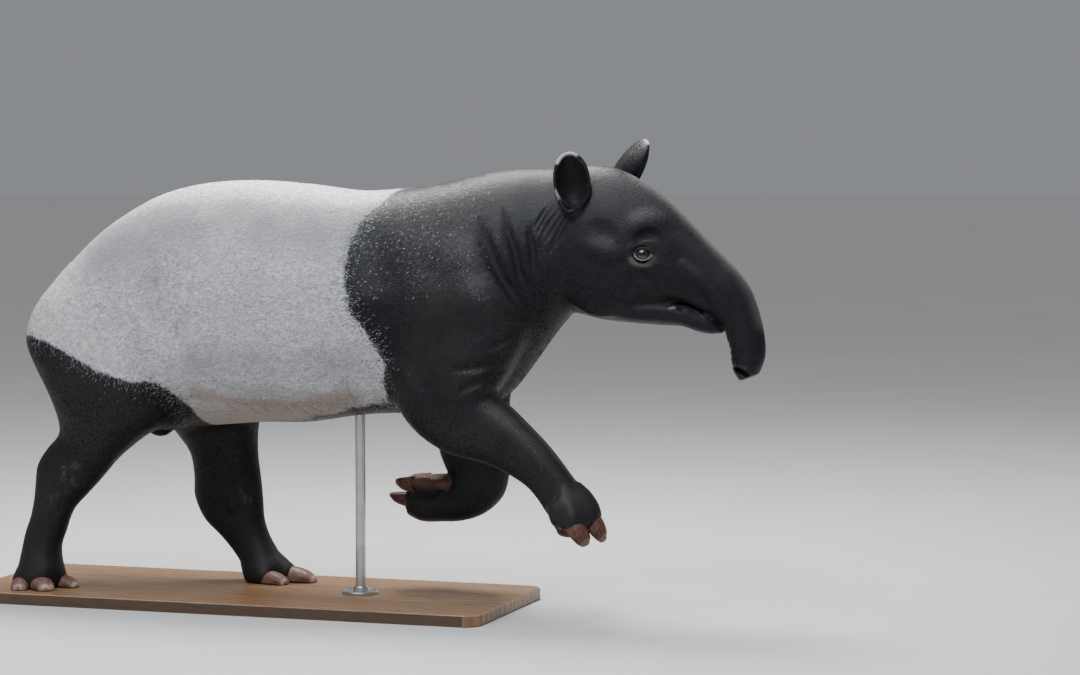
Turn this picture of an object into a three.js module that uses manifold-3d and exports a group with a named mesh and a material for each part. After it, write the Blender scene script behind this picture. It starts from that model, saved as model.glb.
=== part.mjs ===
// Malayan tapir at a canter, a life-size still model on a plain display stand.
// Millimetres, +X towards the head, +Y the animal's left, +Z up from the underside of the stand.
import * as THREE from "three";
import { mergeVertices } from "three/addons/utils/BufferGeometryUtils.js";
import Module from "manifold-3d";

const wasm = await Module();
wasm.setup();

// Driving dimensions
const GAP = 0.3; // slit kept between touching nodes
const SOLE_Z = 0.3; // underside of the planted feet, measured from the top of the base

const EYE_RADIUS = 19.5;
const EYE_PLACE = [699, 79.5, 882]; // centre of the left eyeball
const LID_RADIUS = 18.5; // middle of the lid roll
const LID_ROLL = 4.6; // half thickness of the lid roll

const EAR_LENGTH = 136;
const EAR_WIDTH = 91;

const HOOF_LENGTH = 58;
const HOOF_WIDTH = 54;
const HOOF_HEIGHT = 36;

const BASE_LENGTH = 1420;
const BASE_WIDTH = 540;
const BASE_THICKNESS = 30;
const BASE_MIDDLE_X = -375;
const BASE_CORNER = 40;
const BASE_BEVEL = 3;
const ROD_RADIUS = 13;
const ROD_X = -72;
const FLANGE_RADIUS = 48;
const FLANGE_THICKNESS = 8;

// A section is one ring of a loft. Its upper and lower points lie in the X-Z plane at the distance
// side from the body's middle, half is half its width along Y, wide is how far up it is widest, and
// crown and keel are the superellipse powers above and below that height.
function section(upper, lower, half, more = {}) {
  const { side = 0, wide = 0.46, crown = 2.05, keel = 2.2 } = more;
  return {
    upperX: upper[0],
    upperZ: upper[1],
    lowerX: lower[0],
    lowerZ: lower[1],
    side,
    half,
    wide,
    crown,
    keel,
  };
}

function catmull(a, b, c, d, t) {
  const pull = (c - a) / 2;
  const push = (d - b) / 2;
  const cubic = 2 * (b - c) + pull + push;
  const square = 3 * (c - b) - 2 * pull - push;
  return ((cubic * t + square) * t + pull) * t + b;
}

function sectionBetween(sections, place) {
  const last = sections.length - 1;
  const index = Math.min(Math.floor(place), last - 1);
  const t = place - index;
  const at = (k) => sections[Math.min(Math.max(k, 0), last)];
  const mixed = {};
  for (const key of Object.keys(sections[0])) {
    mixed[key] = catmull(at(index - 1)[key], at(index)[key], at(index + 1)[key], at(index + 2)[key], t);
  }
  return mixed;
}

function ringOf(mixed, sides, grow) {
  const upper = new THREE.Vector3(mixed.upperX, mixed.side, mixed.upperZ);
  const lower = new THREE.Vector3(mixed.lowerX, mixed.side, mixed.lowerZ);
  const rise = upper.clone().sub(lower);
  const height = rise.length();
  rise.normalize();
  const middle = lower.clone().addScaledVector(rise, height * mixed.wide);
  const above = height * (1 - mixed.wide) + grow;
  const below = height * mixed.wide + grow;
  const points = [];
  for (let k = 0; k < sides; k += 1) {
    const angle = (2 * Math.PI * k) / sides;
    const c = Math.cos(angle);
    const s = Math.sin(angle);
    const power = 2 / (c >= 0 ? mixed.crown : mixed.keel);
    const up = Math.sign(c) * Math.abs(c) ** power * (c >= 0 ? above : below);
    const out = Math.sign(s) * Math.abs(s) ** power * (mixed.half + grow);
    points.push(middle.clone().addScaledVector(rise, up).add(new THREE.Vector3(0, out, 0)));
  }
  return { points, middle };
}

function closedGeometry(positions, faces) {
  const geometry = new THREE.BufferGeometry();
  geometry.setAttribute("position", new THREE.Float32BufferAttribute(positions, 3));
  geometry.setIndex(faces);
  return geometry;
}

// A closed skin over rings of equal count, each end shut by a fan
function skinOver(rings) {
  const sides = rings[0].points.length;
  const positions = [];
  const faces = [];
  for (const ring of rings) {
    for (const point of ring.points) {
      positions.push(point.x, point.y, point.z);
    }
  }
  for (let r = 0; r + 1 < rings.length; r += 1) {
    for (let k = 0; k < sides; k += 1) {
      const next = (k + 1) % sides;
      const a = r * sides + k;
      const b = r * sides + next;
      const c = a + sides;
      const d = b + sides;
      faces.push(a, b, c, b, d, c);
    }
  }
  const first = positions.length / 3;
  for (const ring of [rings[0], rings[rings.length - 1]]) {
    positions.push(ring.middle.x, ring.middle.y, ring.middle.z);
  }
  const lastStart = (rings.length - 1) * sides;
  for (let k = 0; k < sides; k += 1) {
    const next = (k + 1) % sides;
    faces.push(first, next, k);
    faces.push(first + 1, lastStart + k, lastStart + next);
  }
  return closedGeometry(positions, faces);
}

function moveRing(ring, towards, distance) {
  const step = towards.clone().sub(ring.middle).normalize().multiplyScalar(distance);
  ring.points.forEach((point) => point.add(step));
  ring.middle.add(step);
}

// A loft through sections from one place in the list to another. trim draws each end in, so that
// two lofts that share an end keep a slit between them; grow makes the loft fatter, for cutting.
function loft(sections, options = {}) {
  const { from = 0, to = sections.length - 1, sides = 16, steps = 2, trim = [0, 0], grow = 0 } = options;
  const count = Math.round((to - from) * steps);
  const rings = [];
  for (let k = 0; k <= count; k += 1) {
    rings.push(ringOf(sectionBetween(sections, from + k / steps), sides, grow));
  }
  const end = rings.length - 1;
  moveRing(rings[0], rings[1].middle.clone(), trim[0]);
  moveRing(rings[end], rings[end - 1].middle.clone(), trim[1]);
  return outward(skinOver(rings));
}

// Turns the faces over where a loft that runs the other way round has them facing in
function outward(geometry) {
  const position = geometry.getAttribute("position");
  const index = geometry.getIndex();
  const corner = [0, 1, 2].map(() => new THREE.Vector3());
  let volume = 0;
  for (let k = 0; k < index.count; k += 3) {
    corner.forEach((point, n) => point.fromBufferAttribute(position, index.getX(k + n)));
    volume += corner[0].dot(corner[1].clone().cross(corner[2]));
  }
  if (volume < 0) {
    for (let k = 0; k < index.count; k += 3) {
      const swap = index.getX(k + 1);
      index.setX(k + 1, index.getX(k + 2));
      index.setX(k + 2, swap);
    }
  }
  return geometry;
}

// Solids for joining and cutting
function solid(geometry) {
  const bare = geometry.clone();
  bare.deleteAttribute("normal");
  bare.deleteAttribute("uv");
  const merged = mergeVertices(bare, 1e-4);
  const mesh = new wasm.Mesh({
    numProp: 3,
    vertProperties: new Float32Array(merged.getAttribute("position").array),
    triVerts: new Uint32Array(merged.getIndex().array),
  });
  return new wasm.Manifold(mesh);
}

function joined(solids) {
  return solids.reduce((sum, next) => sum.add(next));
}

function largestPiece(shape) {
  const pieces = shape.decompose();
  return pieces.reduce((best, next) => (next.volume() > best.volume() ? next : best));
}

function geometryOf(shape) {
  const mesh = largestPiece(shape).getMesh();
  return closedGeometry(Array.from(mesh.vertProperties), Array.from(mesh.triVerts));
}

function placed(geometry, matrix) {
  return geometry.clone().applyMatrix4(matrix);
}

function mirrored(geometry) {
  return outward(placed(geometry, new THREE.Matrix4().makeScale(1, -1, 1)));
}

// A frame whose local X runs along forward and whose local Z leans towards up
function frameAt(origin, forward, up) {
  const x = new THREE.Vector3(...forward).normalize();
  const y = new THREE.Vector3(...up).cross(x).normalize();
  const z = x.clone().cross(y);
  return new THREE.Matrix4().makeBasis(x, y, z).setPosition(...origin);
}

// Body from the rump to the tip of the proboscis, one line of sections
const BODY = [
  section([-952, 700], [-956, 612], 46),
  section([-934, 742], [-946, 560], 92),
  section([-899, 796], [-925, 512], 134),
  section([-846, 854], [-882, 478], 168),
  section([-776, 920], [-812, 448], 197),
  section([-696, 974], [-716, 424], 218),
  section([-600, 1021], [-605, 406], 231),
  section([-480, 1048], [-480, 420], 240),
  section([-340, 1055], [-340, 433], 241),
  section([-200, 1046], [-200, 438], 236),
  section([-60, 1031], [-60, 460], 222),
  section([60, 1039], [65, 468], 205),
  section([160, 1053], [180, 470], 192),
  section([245, 1073], [275, 492], 180, { crown: 1.95 }),
  section([305, 1085], [332, 528], 166, { crown: 1.9 }),
  section([368, 1090], [386, 594], 148, { crown: 1.85 }),
  section([425, 1090], [430, 655], 132, { crown: 1.8, wide: 0.42 }),
  section([475, 1091], [468, 702], 121, { crown: 1.8, wide: 0.4 }),
  section([515, 1095], [500, 730], 116, { crown: 1.8, wide: 0.4 }),
  section([560, 1098], [550, 722], 115, { crown: 1.85, wide: 0.38 }),
  section([610, 1091], [603, 716], 110, { crown: 1.85, wide: 0.38 }),
  section([657, 1071], [650, 718], 102, { crown: 1.85, wide: 0.4 }),
  section([705, 1042], [698, 731], 92, { crown: 1.85, wide: 0.42 }),
  section([750, 1007], [744, 752], 80, { crown: 1.9, wide: 0.42, keel: 2.5 }),
  section([795, 965], [785, 764], 69, { crown: 1.9, wide: 0.42, keel: 2.7 }),
  section([838, 922], [820, 755], 60, { crown: 1.95, wide: 0.44, keel: 2.7 }),
  section([880, 882], [852, 735], 53, { crown: 2, wide: 0.46, keel: 2.5 }),
  section([918, 845], [884, 704], 48, { crown: 2, wide: 0.5, keel: 2.2 }),
  section([949, 804], [895, 671], 44, { crown: 2, wide: 0.5, keel: 2.1 }),
  section([969, 757], [901, 650], 41, { crown: 2, wide: 0.5, keel: 2.1 }),
  section([982, 712], [903, 632], 39, { crown: 2, wide: 0.5, keel: 2.1 }),
  section([989, 673], [905, 614], 38, { crown: 2, wide: 0.5, keel: 2.1 }),
  section([990, 637], [909, 597], 37, { crown: 2, wide: 0.5, keel: 2.1 }),
  section([984, 613], [914, 588], 36, { crown: 2, wide: 0.5, keel: 2.1 }),
  section([975, 592], [925, 573], 31, { crown: 2, wide: 0.5, keel: 2.1 }),
];
const NECK_START = 14;
const HEAD_START = 17;
const PROBOSCIS_START = 27;
const BODY_SIDES = 20;
const BODY_REACH = { from: 0, to: PROBOSCIS_START, sides: BODY_SIDES, steps: 2 };

const LOWER_JAW = [
  section([570, 800], [566, 722], 70),
  section([620, 790], [616, 713], 80),
  section([680, 785], [676, 707], 74),
  section([735, 778], [733, 704], 62),
  section([785, 768], [783, 702], 51),
  section([823, 750], [821, 690], 42),
  section([856, 730], [851, 685], 34),
  section([881, 707], [875, 687], 20),
];

// Mouth line on the cheek, from the corner of the mouth to below the proboscis
const MOUTH_LINE = [
  [748, 757],
  [768, 764],
  [792, 765],
  [820, 756],
  [846, 740],
  [863, 726],
  [874, 716],
];
const LIP_ROLL = 5.5;

// Legs: the upper point of a section is on the front of the limb and the lower one on its back.
// The first sections are sunk in the trunk, which cuts them.
const limbSection = (spread) => (front, back, half, side, more = {}) =>
  section(front, back, half, { side: spread * side, wide: 0.5, crown: 2.2, keel: 2.2, ...more });
const right = limbSection(-1);
const left = limbSection(1);

const HIND_RIGHT = [
  right([-640, 850], [-810, 830], 56, 76),
  right([-570, 765], [-908, 748], 92, 102),
  right([-530, 650], [-945, 650], 112, 116),
  right([-535, 530], [-905, 562], 114, 124),
  right([-575, 435], [-866, 486], 102, 129),
  right([-637, 383], [-848, 432], 80, 131),
  right([-690, 339], [-852, 398], 66, 131),
  right([-736, 287], [-885, 362], 57, 131),
  right([-780, 241], [-912, 321], 50, 132),
  right([-812, 208], [-919, 275], 47, 132),
  right([-827, 179], [-923, 235], 44, 133),
  right([-838, 146], [-933, 186], 43, 134),
  right([-850, 113], [-948, 142], 45, 136),
  right([-852, 85], [-956, 100], 52, 138),
  right([-846, 52], [-963, 58], 58, 142),
  right([-850, 22], [-962, 22], 60, 144),
  right([-856, SOLE_Z], [-954, SOLE_Z], 54, 144),
];
const HIND_LEFT = [
  left([-500, 840], [-770, 830], 56, 76),
  left([-430, 740], [-880, 740], 92, 102),
  left([-390, 600], [-880, 640], 112, 116),
  left([-392, 500], [-775, 540], 112, 124),
  left([-408, 432], [-690, 458], 98, 129),
  left([-414, 385], [-640, 390], 78, 131),
  left([-412, 330], [-601, 336], 62, 131),
  left([-403, 270], [-590, 278], 52, 131),
  left([-397, 212], [-589, 218], 47, 132),
  left([-395, 176], [-562, 160], 45, 132),
  left([-390, 146], [-518, 118], 44, 133),
  left([-378, 114], [-484, 82], 46, 134),
  left([-362, 84], [-462, 54], 52, 135),
  left([-345, 56], [-450, 32], 58, 136),
  left([-340, 24], [-444, 14], 60, 136),
  left([-346, SOLE_Z], [-436, SOLE_Z], 54, 136),
];
const FORE_RIGHT = [
  right([288, 938], [120, 922], 46, 64),
  right([385, 800], [80, 780], 84, 112),
  right([412, 690], [66, 640], 90, 124),
  right([375, 596], [74, 520], 88, 132),
  right([345, 545], [128, 440], 78, 139),
  right([352, 527], [212, 386], 68, 142),
  right([385, 502], [296, 366], 60, 145),
  right([421, 470], [357, 347], 55, 147),
  right([485, 408], [430, 305], 48, 149),
  right([545, 335], [480, 242], 44, 150),
  right([577, 294], [503, 204], 44, 150),
  right([595, 260], [526, 194], 47, 150),
  right([606, 234], [546, 190], 50, 150),
];
const FORE_LEFT = [
  left([288, 938], [120, 922], 46, 64),
  left([372, 800], [80, 780], 84, 112),
  left([360, 690], [56, 640], 90, 124),
  left([312, 596], [54, 530], 86, 132),
  left([284, 510], [66, 452], 74, 139),
  left([280, 440], [82, 396], 64, 143),
  left([281, 374], [94, 350], 56, 146),
  left([280, 312], [106, 318], 51, 148),
  left([262, 246], [117, 298], 48, 149),
  left([214, 200], [110, 286], 46, 150),
  left([156, 178], [88, 274], 46, 150),
  left([98, 173], [64, 268], 49, 150),
  left([46, 172], [38, 264], 52, 150),
  left([10, 190], [14, 256], 48, 150),
];
const HIND_SPLIT = 6;
const FORE_SPLIT = 5;
const LEG_SIDES = 12;

// Toes: where the back of each hoof is, which way it points, how large it is beside HOOF_LENGTH and
// how much shorter and thicker than a hind hoof
const FORE_STOUT = 1.12;
const toe = (at, forward, up, size, stout = 1) => ({ at, forward, up, size, stout });
const foreToe = (at, forward, up, size) => toe(at, forward, up, size, FORE_STOUT);
const TOES = {
  hind_right: [
    toe([-942, -178, SOLE_Z], [0.3, -0.95, 0], [0, 0, 1], 0.92),
    toe([-898, -172, SOLE_Z], [0.72, -0.69, 0], [0, 0, 1], 1.08),
    toe([-866, -122, SOLE_Z], [0.97, -0.2, 0], [0, 0, 1], 0.95),
  ],
  hind_left: [
    toe([-372, 92, SOLE_Z], [0.98, -0.2, 0], [0, 0, 1], 1.02),
    toe([-330, 142, SOLE_Z], [1, 0.06, 0], [0, 0, 1], 1.2),
    toe([-366, 192, SOLE_Z], [0.93, 0.36, 0], [0, 0, 1], 0.95),
  ],
  fore_right: [
    foreToe([558, -108, 214], [0.72, 0.1, -0.69], [0.69, 0.15, 0.72], 1),
    foreToe([573, -150, 222], [0.72, -0.03, -0.69], [0.69, 0, 0.72], 1.14),
    foreToe([547, -187, 213], [0.72, -0.14, -0.69], [0.66, -0.3, 0.7], 1.05),
    foreToe([517, -190, 236], [0.55, -0.3, -0.8], [0.3, -0.9, 0.3], 0.5),
  ],
  fore_left: [
    foreToe([39, 110, 289], [-0.97, -0.08, -0.14], [-0.14, -0.42, -0.9], 0.95),
    foreToe([10, 150, 248], [-0.99, -0.03, -0.06], [0.06, 0, -1], 1),
    foreToe([37, 192, 285], [-0.95, 0.12, -0.1], [-0.1, 0.42, -0.9], 0.95),
    foreToe([80, 208, 276], [-0.86, 0.36, 0.05], [0, 0.95, -0.2], 0.5),
  ],
};

// A hoof along its length: how far along, how high and how broad, as shares of its size
const HOOF_PROFILE = [
  { along: -0.06, high: 1, broad: 0.96 },
  { along: 0.34, high: 0.92, broad: 1 },
  { along: 0.66, high: 0.77, broad: 0.95 },
  { along: 0.9, high: 0.57, broad: 0.8 },
  { along: 1, high: 0.4, broad: 0.58 },
];
const TOE_SIDES = 8;

function hoofSections({ size, stout }) {
  const half = (HOOF_WIDTH * size) / 2;
  return HOOF_PROFILE.map(({ along, high, broad }) => {
    const x = (along * HOOF_LENGTH * size) / stout;
    const top = high * HOOF_HEIGHT * size * stout;
    return section([x, top], [x, 0], half * broad, { wide: 0.3, crown: 2, keel: 4.5 });
  });
}

// The flesh of a toe runs from inside the foot to just over the back of the hoof
function toeSections({ size, stout }) {
  const height = HOOF_HEIGHT * size * stout;
  const half = (HOOF_WIDTH * size) / 2;
  const more = { wide: 0.4, crown: 2, keel: 3 };
  return [
    section([-64 * size, height * 1.2], [-50 * size, height * 0.25], half * 0.6, more),
    section([-42 * size, height * 1.4], [-34 * size, 0], half * 0.86, more),
    section([-14 * size, height * 1.34], [-16 * size, 0], half, more),
    section([6 * size, height * 1.1], [0, 0], half * 1.03, more),
    section([12 * size, height * 0.94], [4, 2], half * 0.9, more),
  ];
}

function toeShapes(one) {
  const frame = frameAt(one.at, one.forward, one.up);
  const options = { sides: TOE_SIDES, steps: 1 };
  const hoof = placed(loft(hoofSections(one), options), frame);
  const cutter = placed(loft(hoofSections(one), { ...options, grow: GAP }), frame);
  const flesh = placed(loft(toeSections(one), options), frame);
  return { hoof, cutter, flesh };
}

const bodyWhole = solid(loft(BODY, BODY_REACH));
const bodyCutter = solid(loft(BODY, { ...BODY_REACH, grow: GAP }));

// The space that an upper leg takes out of the trunk: its own outline drawn a little wider, from
// near the middle of the body outwards
const LEG_MARGIN = 9;
const LEG_INNER = { hind: 26, fore: 52 };
const LEG_OUTER = 300;

function legSpace(sections, split, inner, grow) {
  const sign = Math.sign(sections[0].side);
  const near = inner - grow;
  const wider = sections.map((one) => ({
    ...one,
    side: (sign * (LEG_OUTER + near)) / 2,
    half: (LEG_OUTER - near) / 2 - LEG_MARGIN,
    crown: 7,
    keel: 7,
  }));
  const trim = [-grow, -grow];
  return solid(loft(wider, { to: split, sides: 16, steps: 1, grow: LEG_MARGIN + grow, trim }));
}

// Leg solids: an upper node with its share of the trunk, a lower node with its toes, and its hooves
function legGeometries(sections, split, toes, inner) {
  const half = GAP / 2;
  const whole = bodyWhole.add(solid(loft(sections, { to: split, trim: [0, half], sides: LEG_SIDES })));
  const upper = whole.intersect(legSpace(sections, split, inner, 0));
  const lowerLoft = loft(sections, { from: split, trim: [half, 0], sides: LEG_SIDES });
  const shapes = toes.map(toeShapes);
  const flesh = joined([solid(lowerLoft), ...shapes.map((shape) => solid(shape.flesh))]);
  const cutters = joined(shapes.map((shape) => solid(shape.cutter)));
  const lower = flesh.subtract(cutters);
  const hooves = shapes.map((shape, index) => {
    const others = shapes.slice(0, index);
    return others.reduce((own, other) => own.subtract(solid(other.cutter)), solid(shape.hoof));
  });
  return { upper, lower, hooves };
}

// Head: the skull with lids and lips, less the eye sockets
function mouthRoll(grow) {
  const rings = MOUTH_LINE.map(([x, z], index) => {
    const before = MOUTH_LINE[Math.max(index - 1, 0)];
    const after = MOUTH_LINE[Math.min(index + 1, MOUTH_LINE.length - 1)];
    const along = new THREE.Vector2(after[0] - before[0], after[1] - before[1]).normalize();
    const taper = index === 0 ? 0.5 : 1;
    const middle = new THREE.Vector3(x, headSideAt(x, z + LIP_ROLL), z + LIP_ROLL);
    const points = [];
    for (let k = 0; k < 8; k += 1) {
      const angle = (2 * Math.PI * k) / 8;
      const out = Math.cos(angle) * (LIP_ROLL * taper + grow);
      const rise = Math.sin(angle) * (LIP_ROLL * taper + grow);
      points.push(middle.clone().add(new THREE.Vector3(-along.y * rise, out, along.x * rise)));
    }
    return { points, middle };
  });
  return outward(skinOver(rings));
}

// Half width of the head at a height, found by looking in from the left
function headSideAt(x, z) {
  const ray = new THREE.Raycaster(new THREE.Vector3(x, 500, z), new THREE.Vector3(0, -1, 0));
  const hit = ray.intersectObject(headTarget)[0];
  return hit ? hit.point.y - 1 : 20;
}

const headLoft = loft(BODY, { ...BODY_REACH, from: HEAD_START, trim: [GAP / 2, GAP / 2] });
const headTarget = new THREE.Mesh(headLoft, new THREE.MeshBasicMaterial({ side: THREE.DoubleSide }));
headTarget.updateMatrixWorld();

// The lids are an almond-shaped ring that lies on the outer face of the eyeball
const LID_OUT = 11;
const LID_LONG = 1.2;
const LID_LOW = 0.88;

function lidRing() {
  const ring = new THREE.TorusGeometry(LID_RADIUS, LID_ROLL, 6, 16);
  ring.scale(LID_LONG, LID_LOW, 1);
  const [x, y, z] = EYE_PLACE;
  return placed(ring, frameAt([x + 1, y + LID_OUT, z], [1, -0.34, -0.1], [-0.2, -1, 0.05]));
}

function eyeBall(grow) {
  const ball = new THREE.SphereGeometry(EYE_RADIUS + grow, 14, 10);
  return ball.translate(...EYE_PLACE);
}

function bothSides(geometry) {
  return solid(geometry).add(solid(mirrored(geometry)));
}

const skull = joined([solid(headLoft), bothSides(lidRing()), bothSides(mouthRoll(0))]);
const headSolid = skull.subtract(bothSides(eyeBall(GAP)));
const headCutter = joined([
  solid(loft(BODY, { ...BODY_REACH, from: NECK_START, grow: GAP })),
  bothSides(mouthRoll(2 * GAP)),
]);
const lowerJawSolid = solid(loft(LOWER_JAW, { sides: 16 })).subtract(headCutter);

// Proboscis, with two nostrils sunk in its tip
const NOSTRIL_PLACE = [945, 16, 584];
const NOSTRIL_WAY = new THREE.Vector3(-0.3, 0.35, -0.88).normalize(); // out of the left nostril
const NOSTRIL_DEPTH = 30;
const NOSTRIL_INNER = 5;
const NOSTRIL_OUTER = 10;

function nostril() {
  const cone = new THREE.CylinderGeometry(NOSTRIL_OUTER, NOSTRIL_INNER, NOSTRIL_DEPTH, 12);
  const place = new THREE.Vector3(...NOSTRIL_PLACE);
  const turn = new THREE.Quaternion().setFromUnitVectors(new THREE.Vector3(0, 1, 0), NOSTRIL_WAY);
  return placed(cone, new THREE.Matrix4().compose(place, turn, new THREE.Vector3(1, 1, 1)));
}

const proboscisLoft = loft(BODY, {
  from: PROBOSCIS_START,
  sides: BODY_SIDES,
  steps: 2,
  trim: [GAP / 2, 0],
});
const proboscisSolid = solid(proboscisLoft).subtract(bothSides(nostril()));

// Ears: a tapering cup, open towards local +X, with its root sunk in the head
const EAR_HALF = EAR_WIDTH / 2;
const EAR_WALL = 5;
const EAR_OUTER = [
  { up: -40, front: 20, back: -20, half: 18 },
  { up: 0, front: 30, back: -24, half: 27 },
  { up: 24, front: 36, back: -28, half: 38 },
  { up: 52, front: 31, back: -31, half: EAR_HALF },
  { up: 81, front: 18, back: -31, half: EAR_HALF },
  { up: 105, front: 4, back: -28, half: EAR_HALF - 5 },
  { up: 121, front: -6, back: -25, half: 31 },
  { up: 131, front: -12, back: -22, half: 20 },
  { up: EAR_LENGTH, front: -15, back: -20, half: 8 },
];
const EAR_OPEN = 66; // the hollow reaches this far out of the front of the ear
const EAR_HOLLOW = [
  { up: 10, front: EAR_WALL * 7, back: 4, half: 10 },
  { up: 28, front: EAR_OPEN, back: -28 + EAR_WALL * 2, half: 38 - EAR_WALL * 2 },
  { up: 54, front: EAR_OPEN, back: -31 + EAR_WALL, half: EAR_HALF - EAR_WALL },
  { up: 81, front: EAR_OPEN, back: -31 + EAR_WALL, half: EAR_HALF - EAR_WALL },
  { up: 105, front: EAR_OPEN, back: -28 + EAR_WALL, half: EAR_HALF - EAR_WALL * 2 },
  { up: 121, front: EAR_OPEN, back: -25 + EAR_WALL, half: 31 - EAR_WALL },
  { up: 131, front: EAR_OPEN, back: -22 + EAR_WALL, half: 20 - EAR_WALL },
  { up: EAR_LENGTH + EAR_WALL, front: EAR_OPEN, back: -16, half: 4 },
];
const EARS = {
  right: { at: [526, -80, 992], axis: [-0.05, -0.2, 1], opening: [0.35, -0.94, 0] },
  left: { at: [584, 68, 1046], axis: [0.72, 0.1, 0.8], opening: [0.78, 0.62, 0] },
};

function earLoft(rows, sides) {
  const rings = rows.map(({ up, front, back, half }) =>
    section([front, up], [back, up], half, { wide: 0.5, crown: 2.1, keel: 2.1 }),
  );
  return loft(rings, { sides, steps: 1 });
}

function ear({ at, axis, opening }) {
  const z = new THREE.Vector3(...axis).normalize();
  const y = z.clone().cross(new THREE.Vector3(...opening)).normalize();
  const x = y.clone().cross(z);
  const frame = new THREE.Matrix4().makeBasis(x, y, z).setPosition(...at);
  const outer = solid(placed(earLoft(EAR_OUTER, 16), frame));
  const hollow = solid(placed(earLoft(EAR_HOLLOW, 16), frame));
  return outer.subtract(hollow).subtract(bodyCutter);
}

// Tail: short and tapered, hanging against the rump
const TAIL_HALF = 16;
const TAIL = [
  section([-876, 838], [-868, 806], TAIL_HALF * 1.1),
  section([-905, 814], [-884, 790], TAIL_HALF * 1.1),
  section([-933, 782], [-908, 766], TAIL_HALF),
  section([-955, 748], [-931, 738], TAIL_HALF * 0.92),
  section([-970, 714], [-949, 710], TAIL_HALF * 0.75),
  section([-976, 690], [-960, 688], TAIL_HALF * 0.5),
  section([-974, 678], [-967, 677], TAIL_HALF * 0.2),
];

// Display stand: a flat base and one rod up to the breastbone
function standBase() {
  const outline = new THREE.Shape();
  const halfLength = BASE_LENGTH / 2 - BASE_BEVEL;
  const halfWidth = BASE_WIDTH / 2 - BASE_BEVEL;
  const corners = [
    [halfLength, halfWidth, 0],
    [-halfLength, halfWidth, Math.PI / 2],
    [-halfLength, -halfWidth, Math.PI],
    [halfLength, -halfWidth, 1.5 * Math.PI],
  ];
  for (const [x, y, turn] of corners) {
    const middleX = x - Math.sign(x) * BASE_CORNER;
    const middleY = y - Math.sign(y) * BASE_CORNER;
    outline.absarc(middleX, middleY, BASE_CORNER, turn, turn + Math.PI / 2, false);
  }
  const slab = new THREE.ExtrudeGeometry(outline, {
    depth: BASE_THICKNESS - 2 * BASE_BEVEL,
    bevelThickness: BASE_BEVEL,
    bevelSize: BASE_BEVEL,
    bevelSegments: 1,
    curveSegments: 4,
  });
  return slab.translate(BASE_MIDDLE_X, 0, BASE_BEVEL - BASE_THICKNESS);
}

function uprightCylinder(radius, low, high, sides) {
  const cylinder = new THREE.CylinderGeometry(radius, radius, high - low, sides);
  return cylinder.rotateX(Math.PI / 2).translate(ROD_X, 0, (low + high) / 2);
}

const ROD_REACH = 520; // well inside the chest, which cuts the rod to length
const rodSolid = solid(uprightCylinder(ROD_RADIUS, GAP, ROD_REACH, 16)).subtract(bodyCutter);
const flangeSolid = solid(uprightCylinder(FLANGE_RADIUS, GAP, GAP + FLANGE_THICKNESS, 24)).subtract(
  solid(uprightCylinder(ROD_RADIUS + GAP, GAP - 5, ROD_REACH, 16)),
);

// Materials
function finish(color, roughness, metalness = 0) {
  return new THREE.MeshStandardMaterial({ color, roughness, metalness });
}

const BLACK_COAT = finish(0x26272b, 0.78);
const PALE_COAT = finish(0xb4b2ae, 0.85);
const HORN = finish(0x7b5546, 0.55);
const EYE = finish(0x0d0b0b, 0.08);
const TIMBER = finish(0x8a6844, 0.5);
const STEEL = finish(0x8c8f93, 0.35, 1);

const tapir = new THREE.Group();
tapir.name = "malayan_tapir";

function addNode(name, shape, material) {
  const geometry = shape instanceof THREE.BufferGeometry ? shape : geometryOf(shape);
  const mesh = new THREE.Mesh(geometry, material);
  mesh.name = name;
  tapir.add(mesh);
}

const LEGS = {
  hind_right: [HIND_RIGHT, HIND_SPLIT, LEG_INNER.hind],
  hind_left: [HIND_LEFT, HIND_SPLIT, LEG_INNER.hind],
  fore_right: [FORE_RIGHT, FORE_SPLIT, LEG_INNER.fore],
  fore_left: [FORE_LEFT, FORE_SPLIT, LEG_INNER.fore],
};
const legSpaces = joined(
  Object.values(LEGS).map(([sections, split, inner]) => legSpace(sections, split, inner, GAP)),
);
const torsoLoft = loft(BODY, { ...BODY_REACH, to: NECK_START, trim: [0, GAP / 2] });
const neckReach = { ...BODY_REACH, from: NECK_START, to: HEAD_START, trim: [GAP / 2, GAP / 2] };
addNode("torso", solid(torsoLoft).subtract(legSpaces), PALE_COAT);
addNode("neck", solid(loft(BODY, neckReach)).subtract(legSpaces), BLACK_COAT);
addNode("head", headSolid, BLACK_COAT);
addNode("lower_jaw", lowerJawSolid, BLACK_COAT);
addNode("proboscis", proboscisSolid, BLACK_COAT);
addNode("eye_left", eyeBall(0), EYE);
addNode("eye_right", mirrored(eyeBall(0)), EYE);
addNode("ear_right", ear(EARS.right), BLACK_COAT);
addNode("ear_left", ear(EARS.left), BLACK_COAT);
addNode("tail", solid(loft(TAIL, { sides: 12 })).subtract(bodyCutter), PALE_COAT);

for (const [name, [sections, split, inner]] of Object.entries(LEGS)) {
  const leg = legGeometries(sections, split, TOES[name], inner);
  addNode(`${name}_upper_leg`, leg.upper, BLACK_COAT);
  addNode(`${name}_lower_leg`, leg.lower, BLACK_COAT);
  leg.hooves.forEach((hoof, index) => addNode(`${name}_hoof_${index + 1}`, hoof, HORN));
}

addNode("stand_base", standBase(), TIMBER);
addNode("stand_flange", flangeSolid, STEEL);
addNode("stand_rod", rodSolid, STEEL);

// The underside of the stand is at Z = 0, and the model stands over the middle of its box
const box = new THREE.Box3().setFromObject(tapir);
const middle = box.getCenter(new THREE.Vector3());
tapir.position.set(-middle.x, -middle.y, -box.min.z);

const model = new THREE.Group();
model.add(tapir);

export default model;
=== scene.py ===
import math
from collections import namedtuple

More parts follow.
